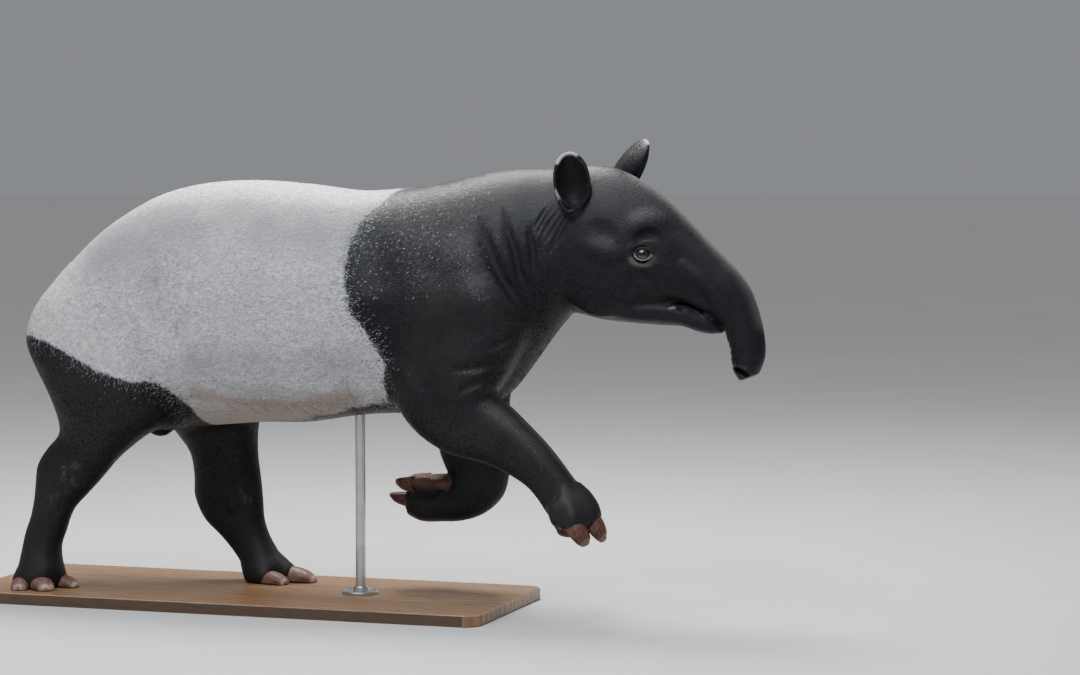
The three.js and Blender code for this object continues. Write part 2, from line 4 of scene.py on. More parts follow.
import bpy
import numpy as np
import openvdb
from mathutils import Matrix, Vector, noise
from mathutils.bvhtree import BVHTree
from mathutils.kdtree import KDTree


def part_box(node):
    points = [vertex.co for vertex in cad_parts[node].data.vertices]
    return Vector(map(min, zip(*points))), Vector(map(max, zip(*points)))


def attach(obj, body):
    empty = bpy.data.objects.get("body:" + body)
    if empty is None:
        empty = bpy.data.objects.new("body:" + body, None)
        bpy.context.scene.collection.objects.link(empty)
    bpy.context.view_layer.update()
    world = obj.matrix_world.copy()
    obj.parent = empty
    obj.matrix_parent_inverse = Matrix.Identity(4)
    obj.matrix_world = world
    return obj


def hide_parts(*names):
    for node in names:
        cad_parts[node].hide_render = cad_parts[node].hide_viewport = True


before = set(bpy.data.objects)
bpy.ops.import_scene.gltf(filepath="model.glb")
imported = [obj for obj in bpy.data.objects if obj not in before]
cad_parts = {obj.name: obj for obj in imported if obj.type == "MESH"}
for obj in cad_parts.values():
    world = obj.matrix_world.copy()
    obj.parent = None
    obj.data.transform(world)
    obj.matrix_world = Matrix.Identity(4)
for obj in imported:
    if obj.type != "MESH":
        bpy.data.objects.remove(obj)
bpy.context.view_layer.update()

# The animal is drawn in metres with +X towards its head, +Y to its left and Z up from the top of
# the stand's base. ORIGIN is where the zero of that drawing lies in the shared frame. Most tables
# are in millimetres, and those in metres say so.
BASE_MIDDLE_X = -0.375
base_low, base_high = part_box("stand_base")
ORIGIN = np.array(
    [(base_low.x + base_high.x) / 2 - BASE_MIDDLE_X, (base_low.y + base_high.y) / 2, base_high.z]
)

# Driving sizes of the skin
SOLE = 0.3  # underside of the planted feet, in millimetres
VOXEL = 0.0036  # grid step in the stretched space
FAR = 0.09  # distance given to what is nowhere near a shape
BODY_REACH = 0.07  # how far from the trunk its distances are kept, more than the widest blend
SKIN_DEPTH = 0.0012  # how far the skin lies inside the solids
SKIN_TRIANGLES = 196000
FOCUS = np.array([0.72, 0.0, 0.88])  # middle of the head, where the skin is finest
FOCUS_GAIN = 1.7
FOCUS_REACH = 0.5
NEWTON_ROUNDS = 12

EYE_PLACE = (0.699, 0.0795, 0.882)
EYE_RADIUS = 0.0195
EYE_LOOK = (0.30, 0.95, 0.06)  # which way the left eye looks
EYE_HALF_LENGTH = 0.0168
EYE_HALF_HEIGHT = 0.0122
LID_RADIUS = 0.0040
CORNEA_RADIUS = 0.0140
CORNEA_RISE = 0.0011
LASHES = 15
LASH_LENGTH = 0.010
LASH_WIDTH = 0.0005

HOOF_LENGTH = 0.058
HOOF_WIDTH = 0.054
HOOF_HEIGHT = 0.036
HOOF_SIDES = 64
HOOF_RINGS = 9  # growth rings along a hoof
RING_DEPTH = 0.00035
EAR_LENGTH = 0.136
EAR_HALF = 0.0455
EAR_WALL = 0.005
DOME_RINGS = 5

# How fine the lofts are: points round each ring, and rings from one section to the next
BODY_MESH = {"sides": 96, "steps": 5}
JAW_MESH = {"sides": 48, "steps": 5}
TAIL_MESH = {"sides": 32, "steps": 5}
LEG_MESH = {"sides": 56, "steps": 5}
TOE_MESH = {"sides": 28, "steps": 4}

TAU = 2 * math.pi
SIDES = {-1: "right", 1: "left"}
rng = np.random.default_rng(20)

Shape = namedtuple("Shape", "points faces")


def unit(vectors):
    return vectors / np.maximum(np.linalg.norm(vectors, axis=-1, keepdims=True), 1e-12)


def clamped(values):
    return np.clip(values, 0, 1)


def metres(table):
    """A number or a nested table in millimetres, in metres."""
    if isinstance(table, (list, tuple)):
        return [metres(row) for row in table]
    return round(table / 1000, 6)


# Lofts through sections. A section's upper and lower points lie in the X-Z plane at the distance
# side from the middle, half is half its width, wide is how far up it is widest, and crown and keel
# are the superellipse powers above and below that height.
def section(upper, lower, half, side=0.0, wide=0.46, crown=2.05, keel=2.2):
    return (*upper, *lower, side, half, wide, crown, keel)


def sections(*rows):
    """Sections from X and Z of the upper point, of the lower point and the half width, then crown,
    wide and keel where they aren't the usual ones."""
    found = []
    for row in rows:
        x, z, low_x, low_z, half = metres(row[:5])
        found.append(section((x, z), (low_x, low_z), half, **dict(zip(("crown", "wide", "keel"), row[5:]))))
    return found


def limb(sign, *rows):
    """Sections of a leg from X and Z of its front, of its back, its half width and its side."""
    found = []
    for x, z, back_x, back_z, half, side in metres(rows):
        found.append(section((x, z), (back_x, back_z), half, sign * side, 0.5, 2.2, 2.2))
    return found


def catmull_rows(rows, places):
    rows = np.asarray(rows, float)
    last = len(rows) - 1
    index = np.clip(places.astype(int), 0, last - 1)
    t = (places - index)[:, None]
    a, b, c, d = (rows[np.clip(index + k, 0, last)] for k in (-1, 0, 1, 2))
    pull = (c - a) / 2
    push = (d - b) / 2
    cubic = 2 * (b - c) + pull + push
    square = 3 * (c - b) - 2 * pull - push
    return ((cubic * t + square) * t + pull) * t + b


def ring_points(rows, sides):
    upper = rows[:, [0, 4, 1]]
    lower = rows[:, [2, 4, 3]]
    height = np.linalg.norm(upper - lower, axis=1, keepdims=True)
    rise = (upper - lower) / height
    half, wide, crown, keel = (rows[:, k, None] for k in (5, 6, 7, 8))
    middles = lower + rise * height * wide
    angle = np.arange(sides) * TAU / sides
    cosine = np.round(np.cos(angle), 12)
    sine = np.round(np.sin(angle), 12)
    power = 2 / np.where(cosine >= 0, crown, keel)
    reach = np.where(cosine >= 0, height * (1 - wide), height * wide)
    up = np.sign(cosine) * np.abs(cosine) ** power * reach
    points = middles[:, None] + rise[:, None] * up[..., None]
    points[..., 1] += np.sign(sine) * np.abs(sine) ** power * half
    return points, middles


def closed_shape(rings, first_end, last_end):
    """Triangles over rings of equal count, each end shut by a fan round its point."""
    count, sides, _ = rings.shape
    k = np.arange(sides)
    following = (k + 1) % sides
    row = np.arange(count - 1)[:, None] * sides
    a, b, c, d = row + k, row + following, row + k + sides, row + following + sides
    walls = np.stack([a, b, c, b, d, c], -1).reshape(-1, 3)
    first = np.full(sides, count * sides)
    top = (count - 1) * sides
    caps = [np.stack([first, following, k], -1), np.stack([first + 1, top + k, top + following], -1)]
    points = np.concatenate([rings.reshape(-1, 3), [first_end, last_end]])
    return Shape(points, np.concatenate([walls, *caps]))


def dome(ring, middle, outward, depth):
    """Rings that close the end of a loft as half an ellipsoid of the given depth."""
    angles = np.linspace(0, TAU / 4, DOME_RINGS + 2)[1:-1]
    return [middle + (ring - middle) * math.cos(a) + outward * depth * math.sin(a) for a in angles]


def loft_rings(rows, sides=64, steps=6):
    last = len(rows) - 1
    return ring_points(catmull_rows(rows, np.linspace(0, last, last * steps + 1)), sides)


def loft(rows, domes=(0.0, 0.0), **fineness):
    rings, middles = loft_rings(rows, **fineness)
    back = unit(middles[0] - middles[1])
    ahead = unit(middles[-1] - middles[-2])
    before = dome(rings[0], middles[0], back, domes[0])[::-1] if domes[0] else []
    after = dome(rings[-1], middles[-1], ahead, domes[1]) if domes[1] else []
    whole = np.stack([*before, *rings, *after])
    return closed_shape(whole, middles[0] + back * domes[0], middles[-1] + ahead * domes[1])


def placed(shape, axes, origin):
    """A shape drawn in local axes (the rows of axes), set at origin."""
    return Shape(shape.points @ axes + origin, shape.faces)


def smooth_line(points, steps=6):
    points = np.asarray(points, float)
    return catmull_rows(points, np.linspace(0, len(points) - 1, (len(points) - 1) * steps + 1))


def tube(path, radii, sides=14):
    """A round tube along a path."""
    path = np.asarray(path, float)
    radii = np.broadcast_to(radii, len(path))
    along = unit(np.gradient(path, axis=0))
    across = np.cross(along[0], (0.31, 0.17, 0.94))
    rings = []
    angle = np.arange(sides)[:, None] * TAU / sides
    for point, direction, radius in zip(path, along, radii):
        across = unit(across - direction * (across @ direction))
        other = np.cross(direction, across)
        rings.append(point + radius * (np.cos(angle) * across + np.sin(angle) * other))
    first = path[0] - along[0] * radii[0] * 0.6
    last = path[-1] + along[-1] * radii[-1] * 0.6
    return closed_shape(np.stack(rings), first, last)


def tapered(radius, count, least):
    """Radii that fall away towards both ends of a line."""
    t = np.linspace(-1, 1, count)
    return radius * (least + (1 - least) * np.sqrt(1 - np.abs(t) ** 3))


def tapered_tube(path, radius, least=0.35, sides=14):
    """A round tube that tapers towards both ends."""
    return tube(path, tapered(radius, len(path), least), sides)


def ball(middle, radii, count=24):
    """An ellipsoid with its axes along X, Y and Z."""
    polar = np.linspace(0, TAU / 2, count)[1:-1]
    angle = np.arange(2 * count) * TAU / (2 * count)
    ring = np.stack([np.cos(angle), np.sin(angle), np.zeros_like(angle)], -1)
    rings = [ring * math.sin(p) - (0, 0, math.cos(p)) for p in polar]
    sphere = closed_shape(np.stack(rings), np.array([0, 0, -1.0]), np.array([0, 0, 1.0]))
    return Shape(sphere.points * np.broadcast_to(radii, 3) + middle, sphere.faces)


# The trunk, neck, head and proboscis in one, from the rump to the tip of the snout
BODY = sections(
    (-952, 700, -956, 612, 46), (-934, 742, -946, 560, 92), (-899, 796, -925, 512, 134),
    (-846, 854, -882, 478, 168), (-776, 920, -812, 448, 197), (-696, 974, -716, 424, 218),
    (-600, 1021, -605, 406, 231), (-480, 1048, -480, 420, 240), (-340, 1055, -340, 433, 241),
    (-200, 1046, -200, 438, 236), (-60, 1031, -60, 460, 222), (60, 1039, 65, 468, 205),
    (160, 1053, 180, 470, 192), (245, 1073, 275, 492, 180, 1.95), (305, 1085, 332, 528, 166, 1.9),
    (368, 1090, 386, 594, 148, 1.85), (425, 1090, 430, 655, 132, 1.8, 0.42),
    (475, 1091, 468, 702, 121, 1.8, 0.4), (515, 1095, 500, 730, 116, 1.8, 0.4),
    (560, 1098, 550, 722, 115, 1.85, 0.38), (610, 1091, 603, 716, 110, 1.85, 0.38),
    (657, 1071, 650, 718, 102, 1.85, 0.4), (705, 1042, 698, 731, 92, 1.85, 0.42),
    (750, 1007, 744, 752, 80, 1.9, 0.42, 2.5), (795, 965, 785, 764, 69, 1.9, 0.42, 2.7),
    (838, 922, 820, 755, 60, 1.95, 0.44, 2.7), (880, 882, 852, 735, 53, 2, 0.46, 2.5),
    (918, 845, 884, 704, 48, 2, 0.5, 2.2), (949, 804, 895, 671, 44, 2, 0.5, 2.1),
    (969, 757, 901, 650, 41, 2, 0.5, 2.1), (982, 712, 903, 632, 39, 2, 0.5, 2.1),
    (989, 673, 905, 614, 38, 2, 0.5, 2.1), (990, 637, 909, 597, 37, 2, 0.5, 2.1),
    (984, 613, 914, 588, 36, 2, 0.5, 2.1), (975, 592, 925, 573, 31, 2, 0.5, 2.1),
)
NECK_START = 14
HEAD_START = 17
LOWER_JAW = sections(
    (570, 800, 566, 722, 70), (620, 790, 616, 713, 80), (680, 785, 676, 707, 74), (735, 778, 733, 704, 62),
    (785, 768, 783, 702, 51), (823, 750, 821, 690, 42), (856, 730, 851, 685, 34), (881, 707, 875, 687, 20),
)
TAIL = sections(
    (-876, 838, -868, 806, 17.6), (-905, 814, -884, 790, 17.6), (-933, 782, -908, 766, 16),
    (-955, 748, -931, 738, 14.72), (-970, 714, -949, 710, 12), (-976, 690, -960, 688, 8),
)
LEGS = {
    "hind_right": limb(
        -1,
        (-640, 850, -810, 830, 56, 76), (-570, 765, -908, 748, 92, 102), (-530, 650, -945, 650, 112, 116),
        (-535, 530, -905, 562, 114, 124), (-575, 435, -866, 486, 102, 129), (-637, 383, -848, 432, 80, 131),
        (-690, 339, -852, 398, 66, 131), (-736, 287, -885, 362, 57, 131), (-780, 241, -912, 321, 50, 132),
        (-812, 208, -919, 275, 47, 132), (-827, 179, -923, 235, 44, 133), (-838, 146, -933, 186, 43, 134),
        (-850, 113, -948, 142, 45, 136), (-852, 85, -956, 100, 52, 138), (-846, 52, -963, 58, 58, 142),
        (-850, 22, -962, 22, 60, 144), (-856, SOLE, -954, SOLE, 54, 144),
    ),
    "hind_left": limb(
        1,
        (-500, 840, -770, 830, 56, 76), (-430, 740, -880, 740, 92, 102), (-390, 600, -880, 640, 112, 116),
        (-392, 500, -775, 540, 112, 124), (-408, 432, -690, 458, 98, 129), (-414, 385, -640, 390, 78, 131),
        (-412, 330, -601, 336, 62, 131), (-403, 270, -590, 278, 52, 131), (-397, 212, -589, 218, 47, 132),
        (-395, 176, -562, 160, 45, 132), (-390, 146, -518, 118, 44, 133), (-378, 114, -484, 82, 46, 134),
        (-362, 84, -462, 54, 52, 135), (-345, 56, -450, 32, 58, 136), (-340, 24, -444, 14, 60, 136),
        (-346, SOLE, -436, SOLE, 54, 136),
    ),
    "fore_right": limb(
        -1,
        (288, 938, 120, 922, 46, 64), (385, 800, 80, 780, 84, 112), (412, 690, 66, 640, 90, 124),
        (375, 596, 74, 520, 88, 132), (345, 545, 128, 440, 78, 139), (352, 527, 212, 386, 68, 142),
        (385, 502, 296, 366, 60, 145), (421, 470, 357, 347, 55, 147), (485, 408, 430, 305, 48, 149),
        (545, 335, 480, 242, 44, 150), (577, 294, 503, 204, 44, 150), (595, 260, 526, 194, 47, 150),
        (606, 234, 546, 190, 50, 150),
    ),
    "fore_left": limb(
        1,
        (288, 938, 120, 922, 46, 64), (372, 800, 80, 780, 84, 112), (360, 690, 56, 640, 90, 124),
        (312, 596, 54, 530, 86, 132), (284, 510, 66, 452, 74, 139), (280, 440, 82, 396, 64, 143),
        (281, 374, 94, 350, 56, 146), (280, 312, 106, 318, 51, 148), (262, 246, 117, 298, 48, 149),
        (214, 200, 110, 286, 46, 150), (156, 178, 88, 274, 46, 150), (98, 173, 64, 268, 49, 150),
        (46, 172, 38, 264, 52, 150), (10, 190, 14, 256, 48, 150),
    ),
}
REGIONS = ["trunk", "neck", "head", "ear_right", "ear_left", "tail", *LEGS]
TAIL_REGION = REGIONS.index("tail")

# Toes: where the back of each hoof is, its axes, its size and how much shorter and thicker it is
# than a hind hoof
Toe = namedtuple("Toe", "at axes size stout")


def toe_axes(forward, up):
    x = unit(np.array(forward, float))
    y = unit(np.cross(up, x))
    return np.stack([x, y, np.cross(x, y)])


def toes_of(stout, *rows):
    """Toes from where each is, which way it points, its upper side and its size."""
    return [Toe(metres(at), toe_axes(forward, up), size, stout) for at, forward, up, size in rows]


TOES = {
    "hind_right": toes_of(
        1.0,
        ((-942, -178, SOLE), (0.3, -0.95, 0), (0, 0, 1), 0.92),
        ((-898, -172, SOLE), (0.72, -0.69, 0), (0, 0, 1), 1.08),
        ((-866, -122, SOLE), (0.97, -0.2, 0), (0, 0, 1), 0.95),
    ),
    "hind_left": toes_of(
        1.0,
        ((-372, 92, SOLE), (0.98, -0.2, 0), (0, 0, 1), 1.02),
        ((-330, 142, SOLE), (1, 0.06, 0), (0, 0, 1), 1.2),
        ((-366, 192, SOLE), (0.93, 0.36, 0), (0, 0, 1), 0.95),
    ),
    "fore_right": toes_of(
        1.12,
        ((558, -108, 214), (0.72, 0.1, -0.69), (0.69, 0.15, 0.72), 1.0),
        ((573, -150, 222), (0.72, -0.03, -0.69), (0.69, 0, 0.72), 1.14),
        ((547, -187, 213), (0.72, -0.14, -0.69), (0.66, -0.3, 0.7), 1.05),
        ((517, -190, 236), (0.55, -0.3, -0.8), (0.3, -0.9, 0.3), 0.5),
    ),
    "fore_left": toes_of(
        1.12,
        ((39, 110, 289), (-0.97, -0.08, -0.14), (-0.14, -0.42, -0.9), 0.95),
        ((10, 150, 248), (-0.99, -0.03, -0.06), (0.06, 0, -1), 1.0),
        ((37, 192, 285), (-0.95, 0.12, -0.1), (-0.1, 0.42, -0.9), 0.95),
        ((80, 208, 276), (-0.86, 0.36, 0.05), (0, 0.95, -0.2), 0.5),
    ),
}

# A hoof along its length: how far along, how high and how broad, as shares of its size
HOOF_PROFILE = [(-0.06, 1.0, 0.96), (0.34, 0.92, 1.0), (0.66, 0.77, 0.95), (0.9, 0.57, 0.8), (1.0, 0.4, 0.58)]


def hoof_sections(toe):
    rows = []
    for along, high, broad in HOOF_PROFILE:
        x = along * HOOF_LENGTH * toe.size / toe.stout
        top = high * HOOF_HEIGHT * toe.size * toe.stout
        half = broad * HOOF_WIDTH * toe.size / 2
        rows.append(section((x, top), (x, 0), half, wide=0.3, crown=2, keel=4.5))
    return rows


# A toe's flesh: x and height of the upper point, of the lower point and the breadth. Each x is in
# metres for a toe of size 1, and the rest are shares of the hoof's height and width.
TOE_PROFILE = [
    (-0.064, 1.2, -0.050, 0.25, 0.6), (-0.042, 1.4, -0.034, 0, 0.86), (-0.014, 1.34, -0.016, 0, 1),
    (0.006, 1.1, 0, 0, 1.03),
]


def toe_sections(toe):
    """The flesh of a toe, from inside the foot to just over the back of its hoof."""
    size = toe.size
    height = HOOF_HEIGHT * size * toe.stout
    half = HOOF_WIDTH * size / 2
    rows = []
    for x, high, low_x, low, broad in TOE_PROFILE:
        rows.append(((x * size, height * high), (low_x * size, height * low), half * broad))
    rows.append(((0.012 * size, height * 0.94), (0.004, 0.002), half * 0.9))
    return [section(*row, wide=0.4, crown=2, keel=3) for row in rows]


# Ears, as distance up the ear and its front, back and half width there, all in metres
EAR_OUTER = [
    (-0.040, 0.020, -0.020, 0.018), (0.0, 0.030, -0.024, 0.027), (0.024, 0.036, -0.028, 0.038),
    (0.052, 0.031, -0.031, EAR_HALF), (0.081, 0.018, -0.031, EAR_HALF),
    (0.105, 0.004, -0.028, EAR_HALF - 0.005), (0.121, -0.006, -0.025, 0.031), (0.131, -0.012, -0.022, 0.020),
    (EAR_LENGTH, -0.015, -0.020, 0.008),
]
EAR_OPEN = 0.066  # the hollow reaches this far out of the front of the ear
EAR_HOLLOW = [
    (0.010, EAR_WALL * 7, 0.004, 0.010),
    (0.028, EAR_OPEN, -0.028 + EAR_WALL * 2, 0.038 - EAR_WALL * 2),
    (0.054, EAR_OPEN, -0.031 + EAR_WALL, EAR_HALF - EAR_WALL),
    (0.081, EAR_OPEN, -0.031 + EAR_WALL, EAR_HALF - EAR_WALL),
    (0.105, EAR_OPEN, -0.028 + EAR_WALL, EAR_HALF - EAR_WALL * 2),
    (0.121, EAR_OPEN, -0.025 + EAR_WALL, 0.031 - EAR_WALL),
    (0.131, EAR_OPEN, -0.022 + EAR_WALL, 0.020 - EAR_WALL),
    (EAR_LENGTH + EAR_WALL, EAR_OPEN, -0.016, 0.004),
]
Ear = namedtuple("Ear", "at axes")


def ear_axes(axis, opening):
    z = unit(np.array(axis, float))
    y = unit(np.cross(z, opening))
    return np.stack([np.cross(y, z), y, z])


def ear_sections(rows):
    return [section((f, z), (b, z), half, wide=0.5, crown=2.1, keel=2.1) for z, f, b, half in rows]


EARS = {
    -1: Ear((0.526, -0.080, 0.992), ear_axes((-0.05, -0.2, 1), (0.35, -0.94, 0))),
    1: Ear((0.584, 0.068, 1.046), ear_axes((0.72, 0.1, 0.8), (0.78, 0.62, 0))),
}

body = loft(BODY, domes=(0.018, 0.004), **BODY_MESH)
jaw = loft(LOWER_JAW, domes=(0.02, 0.008), **JAW_MESH)
tail = loft(TAIL, domes=(0.0, 0.006), **TAIL_MESH)
legs = {name: loft(rows, **LEG_MESH) for name, rows in LEGS.items()}
toes = []
for toe in sum(TOES.values(), []):
    toes.append(placed(loft(toe_sections(toe), (0.0, 0.003), **TOE_MESH), toe.axes, toe.at))
ears = {side: placed(loft(ear_sections(EAR_OUTER)), *ear[::-1]) for side, ear in EARS.items()}
ear_hollows = {side: placed(loft(ear_sections(EAR_HOLLOW)), *ear[::-1]) for side, ear in EARS.items()}


def combined(shapes):
    """Several shapes as one, for looking up places on them."""
    starts = np.cumsum([0] + [len(shape.points) for shape in shapes])
    faces = [shape.faces + start for shape, start in zip(shapes, starts)]
    return Shape(np.concatenate([shape.points for shape in shapes]), np.concatenate(faces))


bare = combined([body, jaw, *legs.values()])
BARE_TREE = BVHTree.FromPolygons(bare.points.tolist(), bare.faces.tolist())


def on_side(line, side, lift=0.0, steps=4):
    """A smooth line of points on one side of the bare body, lifted off it by lift.
    Its X and Z are given, and Y is found by looking in from that side."""
    found = []
    for x, z in smooth_line(line, steps):
        place, normal, _, _ = BARE_TREE.ray_cast(Vector((x, side, z)), Vector((0, -side, 0)))
        if place is None:
            continue
        if normal.y * side < 0:
            normal = -normal
        found.append(place + normal * lift)
    return np.array(found)


# One field of distances holds the growing solid. Space is stretched round the head beforehand, so
# that an even grid gives the face cells of less than half the size.
def stretched(points):
    away = points - FOCUS
    far = (away**2).sum(-1, keepdims=True) / FOCUS_REACH**2
    return FOCUS + away * (1 + FOCUS_GAIN / (1 + far))


def unstretched(points):
    """Undoes stretched, with Newton's method on the distance from the focus."""
    away = points - FOCUS
    wanted = np.linalg.norm(away, axis=-1, keepdims=True)
    radius = wanted / (1 + FOCUS_GAIN)
    for _ in range(NEWTON_ROUNDS):
        far = (radius / FOCUS_REACH) ** 2
        error = radius * (1 + FOCUS_GAIN / (1 + far)) - wanted
        slope = 1 + FOCUS_GAIN * (1 - far) / (1 + far) ** 2
        radius = radius - error / slope
    return FOCUS + away * radius / np.maximum(wanted, 1e-9)


def smooth_least(a, b, blend):
    """The lesser of two distances, rounded where they meet."""
    overlap = np.maximum(blend - np.abs(a - b), 0) / blend
    return np.minimum(a, b) - overlap * overlap * blend / 4


class Field:
    """Distances to one growing solid, on a dense grid in the stretched space."""

    def __init__(self, low, high):
        self.start = np.floor(low / VOXEL).astype(int)
        size = np.ceil(high / VOXEL).astype(int) - self.start + 1
        self.values = np.full(size, FAR, np.float32)
        self.transform = openvdb.createLinearTransform(voxelSize=VOXEL)

    def around(self, shape, blend, reach=0.0):
        """The shape's block of the grid, its distances there, and its blend in stretched space."""
        far = ((shape.points.mean(0) - FOCUS) ** 2).sum() / FOCUS_REACH**2
        blend = blend * (1 + 0.6 * FOCUS_GAIN / (1 + far))
        grid = openvdb.FloatGrid.createLevelSetFromPolygons(
            stretched(shape.points).astype(np.float32),
            triangles=shape.faces.astype(np.uint32),
            transform=self.transform,
            halfWidth=max(blend, reach) / VOXEL + 3,
        )
        low, high = (np.array(corner) for corner in grid.evalActiveVoxelBoundingBox())
        low = np.maximum(low, self.start)
        high = np.minimum(high, self.start + self.values.shape - 1)
        distances = np.empty(high - low + 1, np.float32)
        grid.copyToArray(distances, ijk=tuple(int(v) for v in low))
        block = tuple(slice(f, f + n) for f, n in zip(low - self.start, distances.shape))
        return block, distances, blend

    def join(self, shape, blend, reach=0.0):
        block, distances, blend = self.around(shape, blend, reach)
        self.values[block] = smooth_least(self.values[block], distances, blend)

    def cut(self, shape, blend):
        block, distances, blend = self.around(shape, blend)
        self.values[block] = -smooth_least(-self.values[block], distances, blend)

    def join_line(self, path, radius, blend, *shaping, **more):
        self.join(tapered_tube(path, radius, *shaping, **more), blend)

    def cut_line(self, path, radius, blend, *shaping, **more):
        self.cut(tapered_tube(path, radius, *shaping, **more), blend)

    def surface(self, depth):
        """Points and four-cornered faces of the surface that lies depth inside the solid."""
        limit = 4 * VOXEL
        grid = openvdb.FloatGrid()
        grid.background = limit
        grid.transform = self.transform
        start = tuple(int(v) for v in self.start)
        grid.copyFromArray(np.clip(self.values, -limit, limit), ijk=start, tolerance=0)
        return grid.convertToQuads(isovalue=-depth)


# Sculpting. Creases and hollows are cut and ridges raised along lines given by X and Z on the
# animal's side. Each has its line, its radius, how far its middle is off the skin and how softly
# it blends.
Stroke = namedtuple("Stroke", "line radius lift blend")


def strokes(*rows):
    return [Stroke(*metres(row)) for row in rows]


NECK_FOLDS = strokes(
    ([(344, 1006), (364, 953), (389, 892), (402, 839), (419, 793), (437, 746)], 10.5, 2.5, 9),
    ([(425, 964), (425, 928), (432, 891), (437, 847), (446, 806)], 8, 2, 8),
    ([(281, 990), (304, 945), (329, 892), (354, 839), (390, 785), (417, 746)], 13, 6, 13),
)
FOREARM_FOLDS = strokes(
    ([(239, 594), (277, 601), (316, 606), (356, 613), (374, 612)], 9, 4, 12),
    ([(262, 535), (285, 554), (321, 569), (354, 586), (374, 592)], 9, 3.5, 12),
    ([(330, 578), (345, 560), (352, 540)], 7, 3, 10),
    ([(337, 650), (372, 665), (396, 679)], 9, 4.5, 12),
)
FLANK_FOLD = strokes(
    ([(-434, 576), (-386, 541), (-311, 526), (-219, 523), (-120, 514), (-65, 497)], 14, 9, 16),
)
SKIN_LINES = strokes(
    ([(-83, 681), (-90, 642), (-110, 598)], 4, 0.6, 3),
    ([(-29, 595), (-40, 546), (-38, 494)], 4, 0.6, 3),
)
FACE_FOLDS = strokes(
    # over the eye, under it, along the snout and behind the mouth
    ([(684, 913), (690, 922), (702, 930), (717, 934), (735, 930), (747, 921)], 13, 3, 10),
    ([(665, 850), (676, 835), (694, 826), (716, 823), (738, 826)], 16, 10.5, 14),
    ([(750, 822), (789, 813), (824, 792), (853, 762), (869, 729)], 20, 15.5, 18),
    ([(777, 750), (786, 750), (797, 745)], 8.5, 4, 6),
)
WRINKLE_LINES = [  # behind the ears
    [(510, 993), (491, 965), (475, 935), (462, 906)], [(500, 1002), (476, 972), (461, 943), (447, 912)],
    [(481, 1007), (462, 978), (448, 948), (437, 920)], [(517, 987), (502, 958), (488, 928), (471, 895)],
    [(467, 1010), (452, 985), (440, 961), (430, 935)], [(520, 976), (511, 947), (497, 919), (483, 891)],
    [(493, 938), (483, 908), (469, 872)], [(452, 940), (449, 905), (455, 868)],
]
EAR_WRINKLES = strokes(*((line, 3.6, 0.8, 3) for line in WRINKLE_LINES))
BELLY_FOLDS = []
for k in range(7):
    x = -0.375 + 0.045 * k + 0.006 * math.sin(2.3 * k)
    fall = 0.042 + 0.008 * math.sin(1.7 * k)
    line = [(x, 0.505 - 0.003 * k), (x + 0.012, 0.505 - fall * 0.5), (x + 0.034, 0.505 - fall)]
    BELLY_FOLDS.append(Stroke(line, 0.0036, 0.0006, 0.003))
FOLDS = NECK_FOLDS + FOREARM_FOLDS + FLANK_FOLD + SKIN_LINES + FACE_FOLDS + EAR_WRINKLES + BELLY_FOLDS

HOLLOWS = strokes(
    ([(-557, 850), (-543, 807), (-538, 767), (-531, 715)], 85, 77.5, 50),
    ([(-496, 712), (-484, 682), (-477, 652)], 50, 46, 36),
    ([(20, 940), (30, 860), (50, 780)], 70, 67, 40),
    ([(775, 905), (800, 868), (825, 835)], 26, 23.5, 22),
    ([(585, 955), (628, 925)], 30, 30, 22),
)
RIDGES = strokes(
    # shoulder blade, elbow and flank fold
    ([(235, 900), (262, 872), (298, 832), (325, 779), (336, 730)], 50, -45, 45),
    ([(100, 640), (130, 560), (180, 490)], 34, -32, 28),
    ([(-411, 697), (-422, 658), (-423, 628), (-411, 582)], 26, -23, 26),
    # brow, cheekbone, the bag under the eye and the muscle that lifts the snout
    ([(668, 934), (687, 953), (710, 962), (737, 958), (758, 944)], 30, -26.5, 28),
    ([(560, 905), (610, 885), (655, 880)], 26, -23, 26),
    ([(682, 862), (690, 853), (704, 848), (720, 847), (736, 852)], 10, -6, 8),
    ([(717, 800), (751, 795), (785, 783), (815, 766), (840, 747), (858, 724)], 17, -12, 16),
    ([(790, 870), (835, 820), (880, 765), (905, 710)], 15, -13, 16),
)
# Balls blended in, each with its middle, its radii and how softly it blends: the sheath, two
# bones that show as bumps, and the sole pads of the raised feet
SHEATH_AND_BONES = metres(
    [
        ((-624, -12, 406), (28, 18, 18), 22),
        ((-818, -166, 258), (16, 12, 19), 18),
        ((-470, 90, 205), (15, 10, 17), 16),
    ]
)
PADS = metres([((98, 135, 280), (36, 40, 20), 12), ((528, -145, 202), (22, 30, 13), 12)])
CHEEK_MIDDLE = metres((592, 800))
CHEEK_RADII = metres((78, 30, 80))
MOUTH_LINE = metres([(758, 755), (772, 761), (792, 762), (818, 753), (844, 735), (858, 721)])
MOUTH_CORNER = metres([(762, 750), (771, 751)])
LIP_RADIUS = 0.0065
SLIT_RADIUS = 0.0018
NOSTRIL = metres([(919, 603), (930, 598.5), (942, 592.5), (954, 587.5)])
NOSTRIL_RIM = metres([(913, 613), (930, 610.5), (948, 603.5), (964, 595)])
NOSTRIL_DEPTH = 2.4  # how much deeper than high the opening is
SNOUT_WRINKLES = [28.4, 29.3, 30.1, 30.8, 31.5]  # places along the body's sections
LOBULE = metres([(28, 36, 34), (36, 31, 14), (40, 17, 3), (40, 1, 6)])


def eye_axes(side):
    """Forward, up and out of the eye on one side."""
    out = unit(np.array(EYE_LOOK) * (1, side, 1))
    ahead = np.array([1.0, 0, 0])
    ahead = unit(ahead - out * (ahead @ out))
    up = np.cross(out, ahead) * -side
    return ahead, up * np.sign(up[2]), out


def eye_middle(side):
    return np.array(EYE_PLACE) * (1, side, 1)


